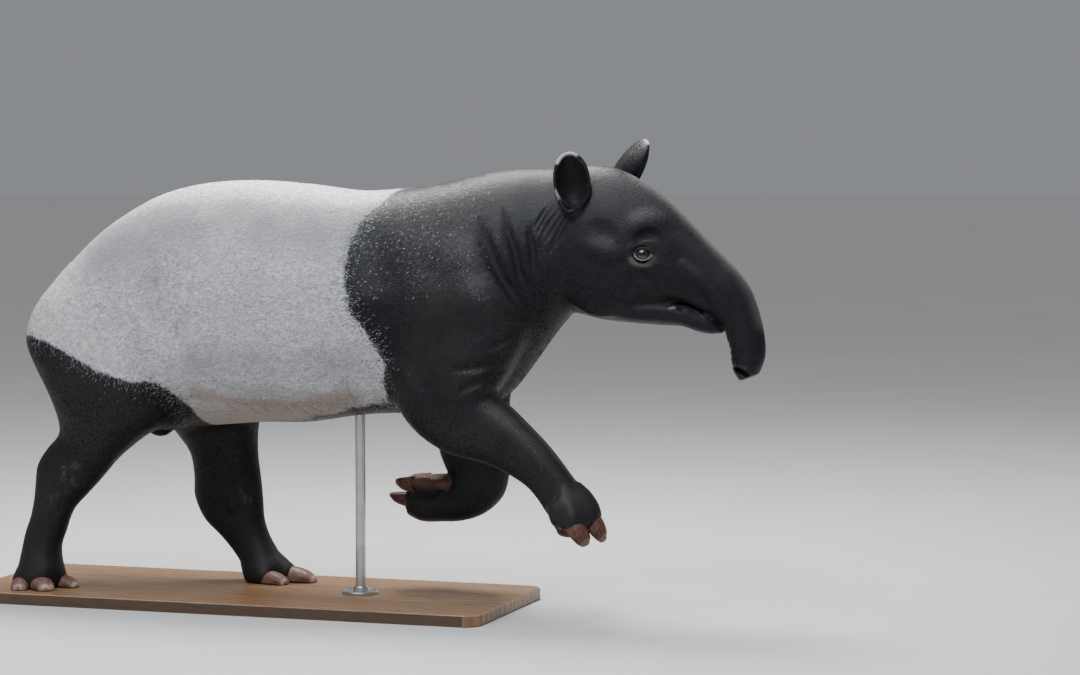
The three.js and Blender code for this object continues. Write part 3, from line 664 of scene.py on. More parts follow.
def lid_line(side, first, last, spread, count=18):
    """Points round the eyeball between two angles, 0 at its front corner and a quarter turn at its
    top. spread widens the almond of the open eye."""
    ahead, up, out = eye_axes(side)
    angle = np.linspace(first, last, count)[:, None]
    along = (EYE_HALF_LENGTH + spread) * np.cos(angle)
    high = (EYE_HALF_HEIGHT + spread) * np.sin(angle)
    surface = EYE_RADIUS + 0.0012
    lift = np.sqrt(np.maximum(surface**2 - along**2 - high**2, 0.006**2))
    return eye_middle(side) + along * ahead + high * up + lift * out


def sculpt_eye(field, side):
    """The socket, the lids with their folds, the tear corner and the room for the eyeball."""
    ahead, up, out = eye_axes(side)
    middle = eye_middle(side)
    field.cut(ball(middle + out * 0.004, EYE_RADIUS * 1.02, 20), 0.006)
    # upper and lower lid
    field.join_line(lid_line(side, -0.10, TAU / 2 + 0.14, 0.0028), LID_RADIUS, 0.003, 0.6)
    field.join_line(lid_line(side, TAU / 2 - 0.05, TAU + 0.05, 0.0024), LID_RADIUS * 0.8, 0.003, 0.6)
    # the fold over the upper lid, the groove between them and the furrow under the eye
    field.join_line(lid_line(side, 0.15, TAU / 2 - 0.15, 0.0120) - out * 0.0105, 0.0140, 0.012, 0.5)
    field.cut_line(lid_line(side, 0.20, TAU / 2 - 0.20, 0.0072) + out * 0.0036, 0.0012, 0.002)
    field.cut_line(lid_line(side, TAU / 2 + 0.05, TAU - 0.25, 0.0070) + out * 0.0014, 0.0022, 0.003)
    corner = middle + ahead * (EYE_HALF_LENGTH + 0.004) + out * 0.0115 - up * 0.001
    path = [corner - ahead * 0.002, corner + ahead * 0.004 - up * 0.002, corner + ahead * 0.009 - up * 0.005]
    field.join(tube(path, (0.0026, 0.0030, 0.0016)), 0.003)
    field.cut(ball(middle, EYE_RADIUS + 0.0002, 24), 0.0008)


def sculpt_mouth(field, side):
    line = np.array(MOUTH_LINE)
    field.join_line(on_side(line + (0, LIP_RADIUS), side, -0.002), LIP_RADIUS, 0.007)
    field.join_line(on_side(line - (0, LIP_RADIUS * 1.1), side, -0.004), LIP_RADIUS * 0.9, 0.007)
    field.cut_line(on_side(line, side), SLIT_RADIUS, 0.003, 0.5)


def nostril_line(side):
    """Points along the middle of a nostril's opening, a little inside the skin."""
    return on_side(NOSTRIL, side, -0.002, 3)


def sculpt_nostril(field, side):
    """A long oval opening with a lip above it, and a bore that leads up into the snout."""
    field.join_line(on_side(NOSTRIL_RIM, side, -0.0012), 0.0040, 0.005, 0.5)
    line = nostril_line(side)
    opening = tapered_tube(line, 0.0066, 0.5, 20)
    middle = line.mean(0)
    deep = middle + (opening.points - middle) * (1, NOSTRIL_DEPTH, 1)
    field.cut(Shape(deep, opening.faces), 0.002)
    bore = [middle, middle + (-0.004, -side * 0.014, 0.014), middle + (-0.010, -side * 0.018, 0.030)]
    field.cut(tube(bore, (0.0060, 0.0060, 0.0040)), 0.003)


def sculpt_snout(field):
    """Faint wrinkles across the rear of the proboscis."""
    for order, place in enumerate(SNOUT_WRINKLES):
        rings, _ = ring_points(catmull_rows(BODY, np.array([place, place + 0.01])), 48)
        rear = rings[0][11:38]
        waver = 0.0020 * np.sin(np.linspace(0, 9, len(rear)) + 2.1 * order)[:, None] * (0.3, 0, 1)
        field.cut_line(rear + waver, 0.0020, 0.003, 0.2, 10)


def ear_rim(side):
    """The edge of an ear, from the rear foot of its opening over the tip to the front."""
    rear = []
    front = []
    for z, ahead, behind, half in EAR_OUTER[2:]:
        x = (ahead + behind) / 2 + 0.4 * (ahead - behind) / 2
        rear.append((x, side * half * 0.93, z))
        front.append((x, -side * half * 0.93, z))
    return smooth_line(rear + front[::-1], 4) @ EARS[side].axes + EARS[side].at


def sculpt_ear(field, side):
    """The ear, its hollow, the rolled rim and the lobule at its rear foot."""
    field.join(ears[side], 0.010)
    field.cut(ear_hollows[side], 0.003)
    field.join_line(ear_rim(side), 0.0034, 0.003, 0.6)
    lobule = smooth_line(LOBULE, 4) * (1, side, 1) @ EARS[side].axes + EARS[side].at
    field.join_line(lobule, 0.0056, 0.004, 0.5)


def fading(line, side, lift, rise):
    """A line near the skin of one side that leaves it softly at both ends."""
    low = on_side(line, side, lift)
    high = on_side(line, side, lift + rise)
    nearness = np.sqrt(clamped(np.sin(np.linspace(0, TAU / 2, len(low)))))[:, None]
    return high + (low - high) * nearness


def sculpted_field():
    margin = 0.02
    shapes = [body, *legs.values(), *ears.values(), *toes]
    corners = stretched(np.concatenate([shape.points for shape in shapes]))
    field = Field(corners.min(0) - margin, corners.max(0) + margin)
    field.join(body, 0.010, BODY_REACH)
    for name, leg in legs.items():
        field.join(leg, 0.036 if name.startswith("hind") else 0.040)
    for toe in toes:
        field.join(toe, 0.026)
    field.join(jaw, 0.012)
    field.join(tail, 0.010)
    for middle, radii, blend in SHEATH_AND_BONES + PADS:
        field.join(ball(middle, radii), blend)
    for side in SIDES:
        for line, radius, lift, blend in HOLLOWS:
            field.cut_line(fading(line, side, lift, radius - lift + blend / 2), radius, blend, sides=24)
        for line, radius, lift, blend in RIDGES:
            field.join_line(fading(line, side, lift, -radius - lift - blend / 2), radius, blend, sides=20)
        middle = on_side([CHEEK_MIDDLE, CHEEK_MIDDLE], side, -CHEEK_RADII[1])[0]
        field.join(ball(middle, CHEEK_RADII), 0.024)
        sculpt_ear(field, side)
        for line, radius, lift, blend in FOLDS:
            field.cut_line(fading(line, side, lift, radius + blend / 2), radius, blend, 0.08, 12)
        sculpt_mouth(field, side)
        sculpt_nostril(field, side)
        sculpt_eye(field, side)
    sculpt_snout(field)
    return field


def added(name, mesh):
    """A new object in the scene with this mesh."""
    mesh.shade_smooth()
    made = bpy.data.objects.new(name, mesh)
    bpy.context.scene.collection.objects.link(made)
    return made


def mesh_object(name, points, faces):
    """An object from points in the animal's frame and faces of one count of corners."""
    mesh = bpy.data.meshes.new(name)
    faces = np.asarray(faces, np.int32)
    mesh.vertices.add(len(points))
    mesh.vertices.foreach_set("co", (np.asarray(points) + ORIGIN).astype(np.float32).ravel())
    mesh.loops.add(faces.size)
    mesh.loops.foreach_set("vertex_index", faces.ravel())
    mesh.polygons.add(len(faces))
    mesh.polygons.foreach_set("loop_start", np.arange(len(faces), dtype=np.int32) * faces.shape[1])
    mesh.update(calc_edges=True)
    mesh.validate()
    return added(name, mesh)


def read(items, name, kind, width=1):
    """One property of all of a mesh's items, as rows."""
    found = np.empty(len(items) * width, kind)
    items.foreach_get(name, found)
    return found.reshape(-1, width)


def mesh_points(mesh):
    return read(mesh.vertices, "co", np.float32, 3).astype(float) - ORIGIN


def mesh_triangles(mesh):
    return read(mesh.loops, "vertex_index", np.int32).reshape(-1, 3)


def set_attribute(mesh, name, values):
    attribute = mesh.attributes.new(name, "FLOAT", "POINT")
    attribute.data.foreach_set("value", np.asarray(values, np.float32))


def make_skin():
    """The one skin: the field's surface, thinned in the stretched space and then let go."""
    points, quads = sculpted_field().surface(SKIN_DEPTH)
    corners = points[quads[:, :3].astype(int)]
    inward = (corners[:, 0] * np.cross(corners[:, 1], corners[:, 2])).sum() < 0
    dense = mesh_object("dense", points, quads[:, ::-1] if inward else quads)
    thin = dense.modifiers.new("thin", "DECIMATE")
    thin.ratio = SKIN_TRIANGLES / (2 * len(quads))
    thin.use_collapse_triangulate = True
    graph = bpy.context.evaluated_depsgraph_get()
    mesh = bpy.data.meshes.new_from_object(dense.evaluated_get(graph))
    bpy.data.objects.remove(dense)
    kept = unstretched(mesh_points(mesh)) + ORIGIN
    mesh.vertices.foreach_set("co", kept.astype(np.float32).ravel())
    mesh.update()
    mesh.name = "skin"
    return added("skin", mesh)


# Where each point of the skin belongs, which way its hair lies and how short the hair is there
Sample = namedtuple("Sample", "points flows regions shortness")
DOWN_DRIFT = 0.30  # how much the hair of the flanks turns down
NEIGHBOURS = 6  # samples that set the way of the hair at a point
FLOW_ROUNDS = 12  # rounds that even it out
FACE_SHORTNESS = 0.45
FOOT_SHORTNESS = 0.40


def sample_of(lofted, region, sign, shortness, axes=np.eye(3), at=(0, 0, 0)):
    """Places on a loft with the way that hair lies there; sign is 1 where it lies along the loft."""
    rings, middles = (points @ axes + at for points in lofted)
    count, sides, _ = rings.shape
    columns = (unit(np.gradient(middles, axis=0)) * sign, region, shortness)
    shapes = ((count, 3), count, count)
    spread = [np.repeat(np.broadcast_to(c, s), sides, axis=0) for c, s in zip(columns, shapes)]
    return Sample(rings.reshape(-1, 3), *spread)


def region_samples():
    lofted = loft_rings(BODY, **BODY_MESH)
    place = np.linspace(0, len(BODY) - 1, len(lofted[0]))
    region = np.where(place < NECK_START, 0, np.where(place < HEAD_START, 1, 2))
    shortness = FACE_SHORTNESS * clamped((place - HEAD_START) / (len(BODY) - 1 - HEAD_START))
    samples = [sample_of(lofted, region, -1, shortness)]
    samples.append(sample_of(loft_rings(LOWER_JAW, **JAW_MESH), 2, -1, FACE_SHORTNESS))
    samples.append(sample_of(loft_rings(TAIL, **TAIL_MESH), TAIL_REGION, 1, 0.0))
    for side, ear in EARS.items():
        region = REGIONS.index("ear_" + SIDES[side])
        for rows in (EAR_OUTER, EAR_HOLLOW):
            lofted = loft_rings(ear_sections(rows[1:]), sides=48, steps=6)
            samples.append(sample_of(lofted, region, 1, 0.0, ear.axes, ear.at))
    for name, rows in LEGS.items():
        region = REGIONS.index(name)
        lofted = loft_rings(rows, **LEG_MESH)
        shortness = FOOT_SHORTNESS * np.linspace(0, 1, len(lofted[0])) ** 1.5
        samples.append(sample_of(lofted, region, 1, shortness))
        for toe in TOES[name]:
            lofted = loft_rings(toe_sections(toe), **TOE_MESH)
            samples.append(sample_of(lofted, region, 1, FOOT_SHORTNESS, toe.axes, toe.at))
    return Sample(*(np.concatenate(column) for column in zip(*samples)))


SAMPLES = region_samples()


def nearest_samples(points, count):
    """The samples nearest each point, as a row of indices for each."""
    tree = KDTree(len(SAMPLES.points))
    for index, point in enumerate(SAMPLES.points.tolist()):
        tree.insert(point, index)
    tree.balance()
    return np.array([[found[1] for found in tree.find_n(point, count)] for point in points.tolist()])


# Markings. The pale saddle is what lies inside a line on the animal's side, and its edge is the
# distance inside that line.
SADDLE_FRONT = [
    (49, 1250), (49, 1033), (12, 993), (-15, 946), (-31, 895), (-36, 832), (-29, 780), (-8, 728),
    (24, 687), (48, 645), (66, 611), (61, 576), (56, 534), (52, 505),
]
SADDLE_BELLY = [(-30, 489), (-75, 478), (-130, 466), (-190, 452), (-250, 436), (-330, 410)]
SADDLE_REAR = {
    -1: [
        (-450, 400), (-464, 444), (-470, 476), (-490, 506), (-516, 528), (-544, 542),
        (-616, 548), (-686, 572), (-753, 601), (-823, 636), (-902, 656),
    ],
    1: [
        (-352, 420), (-372, 462), (-400, 500), (-450, 528),
        (-544, 545), (-686, 574), (-823, 634), (-902, 656),
    ],
}
SADDLE_BACK = [(-1200, 668), (-1200, 1250)]
# the ridge of forehead and snout, along which a highlight is painted
FOREHEAD = [(660, 1070), (740, 1020), (780, 984), (852, 910), (925, 836), (962, 775), (981, 720)]
WARM_FLANK = [(-450, 515), (-360, 500), (-250, 497), (-120, 500), (-40, 515)]
BACK_BAND = [(-720, 880), (-550, 945), (-360, 962), (-180, 955), (-20, 935)]
# the hip hollow, whose darker grey is painted shade
HIP_HOLLOW = [(-548, 815), (-538, 745)]
LOW_BAND = [(-420, 615), (-200, 600), (-30, 620)]
# Dusty places on the hocks and shins, each a line and how far it spreads
SCUFFS = metres(
    [
        ([(-800, -200, 310), (-780, -200, 285)], 45),
        ([(-846, -180, 230), (-840, -180, 200)], 26),
        ([(-437, 85, 224), (-415, 85, 218)], 28),
        ([(465, -200, 376), (473, -200, 362)], 16),
    ]
)
RIM_REACH = {-1: (0.28, 0.62), 1: (0.44, 0.57)}  # white part of each ear's edge


def segments(line):
    line = np.asarray(line)
    return zip(line, line[1:])


def line_distance(points, line):
    least = np.full(len(points), 9.0)
    for a, b in segments(line):
        span = b - a
        t = clamped(((points - a) @ span) / (span @ span))
        least = np.minimum(least, np.linalg.norm(points - a - t[:, None] * span, axis=1))
    return least


def inside_distance(points, outline):
    """Distance in the X-Z plane to a closed outline, above nought inside it."""
    flat = points[:, [0, 2]]
    outline = outline + outline[:1]
    inside = np.zeros(len(flat), bool)
    for a, b in segments(outline):
        crosses = (a[1] > flat[:, 1]) != (b[1] > flat[:, 1])
        across = a[0] + (flat[:, 1] - a[1]) * (b[0] - a[0]) / ((b[1] - a[1]) or 1e-9)
        inside ^= crosses & (flat[:, 0] < across)
    least = line_distance(flat, outline)
    return np.where(inside, least, -least)


def saddle_edge(points):
    outlines = [metres(SADDLE_FRONT + SADDLE_BELLY + SADDLE_REAR[s] + SADDLE_BACK) for s in SIDES]
    right, left = (inside_distance(points, outline) for outline in outlines)
    leftness = clamped(points[:, 1] / 0.06 + 0.5)
    return right * (1 - leftness) + left * leftness


def marked(points, lines):
    """The most that any line gives to each point. Each has its points, the radius at which it has
    fallen to nothing and its strength."""
    found = np.zeros(len(points))
    for line, radius, strength in lines:
        t = clamped(1 - line_distance(points, line) / radius)
        found = np.maximum(found, strength * (t * t * (3 - 2 * t)))
    return found


def along_folds(folds, lift, trim, radius, strength):
    """Lines for marked along folds of both sides, each cut short by trim points at both ends."""
    return [(on_side(s.line, side, lift)[trim:-trim], radius, strength) for side in SIDES for s in folds]


def middle_line(table):
    return [(x, 0, z) for x, z in metres(table)]


def light_marks(points):
    """Up to 1 where hair or skin is whitish: ear rims, lower lid margins, tear corners and dust. It also
    paints highlights along the forehead ridge, on the bag under each eye and on the wet mouth corners.
    """
    # painted highlight along the lit ridge of forehead and snout
    lines = [(middle_line(FOREHEAD), 0.042, 0.11)]
    for side in SIDES:
        rim = ear_rim(side)
        height = np.linspace(0, 1, len(rim))
        low, high = RIM_REACH[side]
        ahead, up, out = eye_axes(side)
        tear = eye_middle(side) + ahead * (EYE_HALF_LENGTH + 0.004) + out * 0.0125 - up * 0.003
        lines += [
            (rim[(height > low) & (height < high)], 0.0075, 0.90),
            (rim[:5], 0.010, 0.45),
            (lid_line(side, TAU / 2 - 0.10, TAU - 0.20, 0.0014), 0.0030, 0.60),
            # painted highlight on the lit bag under the eye
            (lid_line(side, TAU / 2 + 0.5, TAU - 0.3, 0.014), 0.012, 0.14),
            ([tear, tear + ahead * 0.002], 0.0045, 0.30),
            # painted highlight on the wet mouth corner
            (on_side(MOUTH_CORNER, side), 0.007, 0.22),
        ]
    light = marked(points, lines)
    for line, reach in SCUFFS:
        dust = marked(points, [(line, reach, 1)])
        dusty = np.flatnonzero(dust > 0)
        patchy = np.array([noise.noise(Vector(place)) for place in points[dusty] * (95, 95, 38)])
        light[dusty] = np.maximum(light[dusty], 0.16 * dust[dusty] * clamped(patchy * 2.2))
    return light


def inner_marks(points):
    """Painted shade, near black: 1 inside the hollow of an ear or a nostril, under the brow, along the upper
    lids and in the creases of neck and forearm.
    """
    inner = np.zeros(len(points))
    lines = []
    for side, ear in EARS.items():
        x, y, z = ear.axes @ (points - ear.at).T
        heights, fronts, backs, halves = np.array(EAR_HOLLOW).T
        middle = np.interp(z, heights, (fronts + backs) / 2)
        reach = np.interp(z, heights, (fronts - backs) / 2) + 0.0028
        half = np.interp(z, heights, halves) + 0.0018
        far = (np.abs(x - middle) / reach) ** 2.1 + (np.abs(y) / half) ** 2.1
        inside = (far < 1) & (z > heights[0]) & (z < EAR_LENGTH)
        inner = np.where(inside, np.clip((1 - far) * 14, 0, 0.35) + np.clip(1.1 - 1.6 * far, 0, 0.65), inner)
        lines += [
            (nostril_line(side), 0.010, 1),
            (on_side(FACE_FOLDS[0].line, side, -0.002), 0.019, 1),
            (lid_line(side, 0.05, TAU / 2 - 0.15, 0.0030), 0.0065, 1),
        ]
    lines += along_folds(NECK_FOLDS + FOREARM_FOLDS, -0.004, 1, 0.0080, 0.55)
    return np.maximum(inner, marked(points, lines))


def pad_marks(points, normals):
    """1 on the reddish sole pads of the raised feet."""
    pads = np.zeros(len(points))
    for middle, radii, _ in PADS:
        far = np.linalg.norm((points - middle) / (np.array(radii) * 1.12), axis=1)
        pads = np.maximum(pads, clamped((1.08 - far) * 9))
    x, y, z = points.T
    folded = (x < 0.130) & (x > -0.05) & (y > 0.05) & (z > 0.262) & (z < 0.33)
    return np.maximum(pads, folded * clamped((normals[:, 2] + 0.05) * 2.5))


def bare_marks(points):
    """1 where the skin has no hair: lids, mouth, nostrils, under the hooves and in the socket."""
    lines = []
    for side in SIDES:
        lines += [
            (lid_line(side, -0.1, TAU / 2 + 0.1, 0.0016), 0.0075, 1),
            (lid_line(side, TAU / 2, TAU, 0.0016), 0.0075, 1),
            (on_side(MOUTH_LINE, side), 0.007, 1),
            (nostril_line(side), 0.018, 1),
        ]
    for toe in sum(TOES.values(), []):
        sole = np.stack([toe.axes[0] * -0.02, toe.axes[0] * 0.01]) * toe.size + toe.at
        lines.append((sole, 0.014 * toe.size, 1))
    bare_skin = marked(points, lines)
    for side in SIDES:
        bare_skin[np.linalg.norm(points - eye_middle(side), axis=1) < EYE_RADIUS + 0.002] = 1
    return bare_skin


def cavity_marks(mesh, points, normals):
    """1 deep in folds, from how far each point lies below the average of those around it, and along the drawn
    skin lines. The colours are darkened there as painted shade.
    """
    depth = ((settled(mesh, points, 4) - points) * normals).sum(1)
    drawn = along_folds(SKIN_LINES + BELLY_FOLDS, -0.001, 2, 0.0050, 0.9)
    return np.maximum(clamped(depth / 0.0009 - 0.6), marked(points, drawn))


def settled(mesh, values, rounds):
    """Values at a mesh's points, evened out along its edges."""
    a, b = read(mesh.edges, "vertices", np.int32, 2).T
    count = np.bincount(a, minlength=len(values)) + np.bincount(b, minlength=len(values)) + 1
    for _ in range(rounds):
        total = values.copy()
        for column in range(values.shape[1]):
            total[:, column] += np.bincount(a, values[b, column], len(values))
            total[:, column] += np.bincount(b, values[a, column], len(values))
        values = total / count[:, None]
    return values


SHARED_MARKS = ("light", "warm", "limb", "cavity", "grey_and_shade", "crown", "inner", "belly")


def mark_skin(mesh):
    """Writes the skin's markings and returns what the coat needs to know at each of its points."""
    points = mesh_points(mesh)
    normals = read(mesh.vertex_normals, "vector", np.float32, 3).astype(float)
    near = nearest_samples(points, NEIGHBOURS)
    region = SAMPLES.regions[near[:, 0]]
    flow = SAMPLES.flows[near].mean(1)
    flow[:, 2] -= DOWN_DRIFT * (region < 2)
    flow = settled(mesh, flow, FLOW_ROUNDS)
    edge = saddle_edge(points)
    edge[region == TAIL_REGION] = 0.05
    inner = inner_marks(points)
    pad = pad_marks(points, normals)
    x, _, z = points.T
    belly = clamped((0.500 - z) / 0.03) * clamped((x + 0.52) / 0.04) * clamped((0.10 - x) / 0.06)
    belly = belly * (region < 1)
    flat = points * (1, 0, 1)
    # greyer hair in a band below the back, painted shade in the hip hollow, and darker along the lower flank
    grey = [(BACK_BAND, 0.125, 1), (HIP_HOLLOW, 0.070, 0.45), (LOW_BAND, 0.080, 0.5)]
    marks = {
        "points": points,
        "normals": normals,
        "region": region,
        "flow": unit(flow - normals * (flow * normals).sum(1, keepdims=True)),
        "shortness": np.maximum(SAMPLES.shortness[near[:, 0]], belly * 0.45),
        "edge": edge,
        "bare": np.maximum(bare_marks(points), np.maximum(pad, inner * 0.55)),
        "pad": pad,
        "light": light_marks(points),
        "warm": marked(flat, [(middle_line(WARM_FLANK), 0.045, 1)]) * (region < 1),
        "limb": settled(mesh, (region > TAIL_REGION).astype(float)[:, None], 10)[:, 0],
        # painted shade at the bottom of folds
        "cavity": cavity_marks(mesh, points, normals),
        "grey_and_shade": marked(flat, [(middle_line(line), *more) for line, *more in grey]),
        # painted highlight where the top of the back faces up into the light
        "crown": clamped((normals[:, 2] - 0.74) / 0.20) * clamped((z - 0.80) / 0.08),
        # painted shade in hollows and creases
        "inner": inner,
        "belly": belly,
    }
    for name in ("edge", "bare", "pad", *SHARED_MARKS):
        set_attribute(mesh, name, marks[name])
    return marks


# The coat: flat tapered tufts that lie along the body
Coat = namedtuple("Coat", "length width lift density")  # metres, metres, radians, tufts per square metre
COATS = {
    "trunk": Coat(0.0070, 0.00100, 0.15, 125000),
    "neck": Coat(0.0062, 0.00090, 0.13, 120000),
    "head": Coat(0.0042, 0.00080, 0.12, 150000),
    "ear": Coat(0.0036, 0.00070, 0.16, 150000),
    "tail": Coat(0.0080, 0.00110, 0.20, 90000),
    "leg": Coat(0.0060, 0.00095, 0.12, 95000),
}
REGION_COATS = [COATS["leg" if name in LEGS else name.split("_")[0]] for name in REGIONS]
ROOT_DEPTH = 0.0004
PATCH = 0.003  # size of a tuft on the unwrap, whose side is 1
TUFT_POINTS = 5
TUFT_FACES = np.array([(0, 1, 3), (0, 3, 2), (2, 3, 4)])
TUFT_PATCH = np.array([(-0.5, -0.5), (0.5, -0.5), (-0.4, 0.0), (0.4, 0.0), (0.0, 0.5)]) * PATCH
FLECK_SHARE = 0.10  # of the tufts just in front of the saddle that are grey
FLECK_REACH = 0.13
FLECK_SIZE = 1.15
EDGE_MIX = 0.0110  # how far pale and dark tufts mingle at the saddle's edge
GROIN_MIX = 0.8  # how much more they mingle at the groin
MOST_TUFTS = 65000  # in one piece
CREASE_THINNING = 0.55  # share of the tufts left out at the bottom of a crease
CREASE_SHADE = 0.7  # how dark the others are there


def scattered(mesh, marks):
    """Roots over the whole skin, with what the marks say at each."""
    triangles = mesh_triangles(mesh)
    corners = marks["points"][triangles]
    area = np.linalg.norm(np.cross(corners[:, 1] - corners[:, 0], corners[:, 2] - corners[:, 0]), axis=1) / 2
    region = marks["region"][triangles[:, 0]]
    density = np.array([coat.density for coat in REGION_COATS])[region]
    density = density * (1 - clamped(marks["bare"][triangles].mean(1) * 1.6))
    density = density * (1 - 0.55 * marks["belly"][triangles].mean(1))
    density = density * (1 - 0.60 * marks["cavity"][triangles].mean(1))
    wanted = area * density
    chosen = rng.choice(len(triangles), int(wanted.sum()), p=wanted / wanted.sum())
    first, second = rng.random((2, len(chosen)))
    over = first + second > 1
    first, second = np.where(over, 1 - first, first), np.where(over, 1 - second, second)
    weights = np.stack([1 - first - second, first, second], -1)
    roots = {"region": region[chosen]}
    for name, values in marks.items():
        if name != "region":
            roots[name] = np.einsum("nk,nk...->n...", weights, values[triangles[chosen]])
    return roots


def tuft_points(roots, fleck):
    """The five points of each tuft: two at the root, two midway and the tip."""
    count = len(roots["region"])
    coats = np.array([coat[:3] for coat in REGION_COATS])[roots["region"]]
    length = coats[:, 0] * (1 - roots["shortness"]) * rng.uniform(0.7, 1.3, count)
    width = coats[:, 1] * (1 - 0.5 * roots["shortness"]) * rng.uniform(0.75, 1.25, count)
    lift = coats[:, 2] * rng.uniform(0.5, 1.6, count)
    normal = unit(roots["normals"])
    flow = unit(roots["flow"] - normal * (roots["flow"] * normal).sum(1, keepdims=True))
    across = np.cross(normal, flow)
    turn = (rng.normal(0, 0.22, count) + fleck * rng.normal(0, 0.9, count))[:, None]
    flow, across = flow * np.cos(turn) + across * np.sin(turn), across * np.cos(turn) - flow * np.sin(turn)
    half = across * width[:, None] / 2
    root = roots["points"] - normal * ROOT_DEPTH
    ahead = flow * length[:, None]
    rise = normal * (length * np.sin(lift))[:, None]
    middle = root + ahead * 0.5 + rise * 0.75 + normal * ROOT_DEPTH
    tip = root + ahead + rise * 1.05 + across * (rng.normal(0, 0.12, count) * length)[:, None]
    return np.stack([root - half, root + half, middle - half * 0.8, middle + half * 0.8, tip], 1)


def unwrapped(points, normals):
    """A place in the unit square for each root: six charts, one for each way the skin faces."""
    facing = np.abs(normals).argmax(1)
    toward = normals[np.arange(len(points)), facing] > 0
    places = np.zeros((len(points), 2))
    for axis in range(3):
        for half in (0, 1):
            mine = (facing == axis) & (toward == bool(half))
            if not mine.any():
                continue
            flat = np.delete(points[mine], axis, axis=1)
            low = flat.min(0)
            spread = (flat - low) / np.maximum(flat.max(0) - low, 1e-6)
            places[mine] = np.array([half / 2, axis / 3]) + (0.01, 0.01) + spread * (0.48, 1 / 3 - 0.02)
    return places


def coat_piece(name, roots, points, material):
    count = len(points)
    faces = TUFT_FACES[None] + TUFT_POINTS * np.arange(count)[:, None, None]
    piece = mesh_object(name, points.reshape(-1, 3), faces.reshape(-1, 3))
    mesh = piece.data
    for key in ("edge", "chance", *SHARED_MARKS):
        set_attribute(mesh, key, np.repeat(roots[key], TUFT_POINTS))
    set_attribute(mesh, "tip", np.tile([0, 0, 0.5, 0.5, 1.0], count))
    places = (unwrapped(roots["points"], roots["normals"])[:, None] + TUFT_PATCH).reshape(-1, 2)
    layer = mesh.uv_layers.new(name="OFBake")
    corners = read(mesh.loops, "vertex_index", np.int32)[:, 0]
    layer.data.foreach_set("uv", places[corners].astype(np.float32).ravel())
    mesh.materials.append(material)
    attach(piece, "root")


def in_creases(points):
    """1 at the bottom of the creases of neck and shoulder, and of the wrinkles behind the ears, where the
    coat is thinned and painted with shade.
    """
    found = np.zeros(len(points))
    near = (points[:, 0] > 0.20) & (points[:, 0] < 0.56) & (points[:, 2] > 0.50)
    lines = along_folds(NECK_FOLDS + FOREARM_FOLDS, -0.004, 1, 0.0070, 1)
    lines += along_folds(EAR_WRINKLES, -0.001, 1, 0.0032, 1)
    found[near] = marked(points[near], lines)
    return found


def thin_haired(roots):
    """Whether each root is on the chest, jaw, ears or an underside, where the coat is dull."""
    ahead, _, upward = (roots["normals"] + rng.normal(0, 0.07, (len(roots["region"]), 1))).T
    x, y, z = roots["points"].T
    under = (upward < -0.08) | (ahead > 0.45) & (upward < 0.14) & (z < 0.85)
    under |= (x > 0.27) & (np.abs(y) + 0.3 * upward < 0.150) & (z > 0.48) & (z < 0.80)
    under |= (x > 0.60) & (x < 0.86) & (z + 0.05 * upward < 0.745)
    return under | np.isin(roots["region"], [REGIONS.index("ear_right"), REGIONS.index("ear_left")])


def make_coat(mesh, marks):
    roots = scattered(mesh, marks)
    crease = in_creases(roots["points"])
    kept = rng.random(len(crease)) > CREASE_THINNING * crease
    # the tufts left in a crease get painted shade
    roots["inner"] = np.maximum(roots["inner"], CREASE_SHADE * crease)
    roots = {name: values[kept] for name, values in roots.items()}
    region = roots["region"]
    count = len(region)
    roots["chance"] = rng.random(count)
    x, y, z = roots["points"].T
    groin = clamped((0.53 - z) / 0.06) * clamped((-0.20 - x) / 0.08) * (region < 1)
    edge = roots["edge"] + rng.logistic(0, EDGE_MIX * (1 + GROIN_MIX * groin))
    upper = clamped((z - 0.72) / 0.12) * (region < 2) * clamped((0.36 - x) / 0.1)
    grey_share = FLECK_SHARE * upper * np.exp(roots["edge"] / FLECK_REACH)
    fleck = (edge < 0) & (x > -0.1) & (rng.random(count) < grey_share)
    roots["light"] = np.where(fleck, 0.05 + 0.50 * rng.random(count) ** 2, roots["light"])
    stray = (edge > 0) & (roots["edge"] < 0)
    roots["grey_and_shade"] = np.where(stray, rng.uniform(0.9, 1.8, count), roots["grey_and_shade"])
    # stray pale tufts get no painted highlight
    roots["crown"] = np.where(stray, 0, roots["crown"])
    roots["edge"] = edge
    points = tuft_points(roots, fleck)
    points[fleck] = points[fleck, :1] + (points[fleck] - points[fleck, :1]) * FLECK_SIZE
    groups = {}
    for index, name in enumerate(REGIONS):
        mine = region == index
        if name in ("trunk", "neck", "head"):
            groups[name + "_right"] = mine & (y < 0)
            groups[name + "_left"] = mine & (y >= 0)
        else:
            groups[name] = mine
    under = thin_haired(roots)
    shades = {"pale": edge > 0, "dark": (edge <= 0) & ~under, "under": (edge <= 0) & under}
    for name, mine in groups.items():
        for shade, those in shades.items():
            order = np.flatnonzero(mine & those)
            parts = math.ceil(len(order) / MOST_TUFTS)
            if not parts:
                continue
            cuts = np.array_split(order[np.argsort(x[order], kind="stable")], parts)
            for number, chosen in enumerate(cuts, 1):
                label = f"coat_{name}_{shade}" + (f"_{number}" if parts > 1 else "")
                own = {key: values[chosen] for key, values in roots.items()}
                coat_piece(label, own, points[chosen], COAT_MATERIALS[shade])


# Materials
def colour_of(value):
    """A colour's four numbers from its three or from one grey. Sockets are left as they are."""
    if isinstance(value, float):
        return (value, value, value, 1)
    return (*value, 1) if isinstance(value, tuple) else value


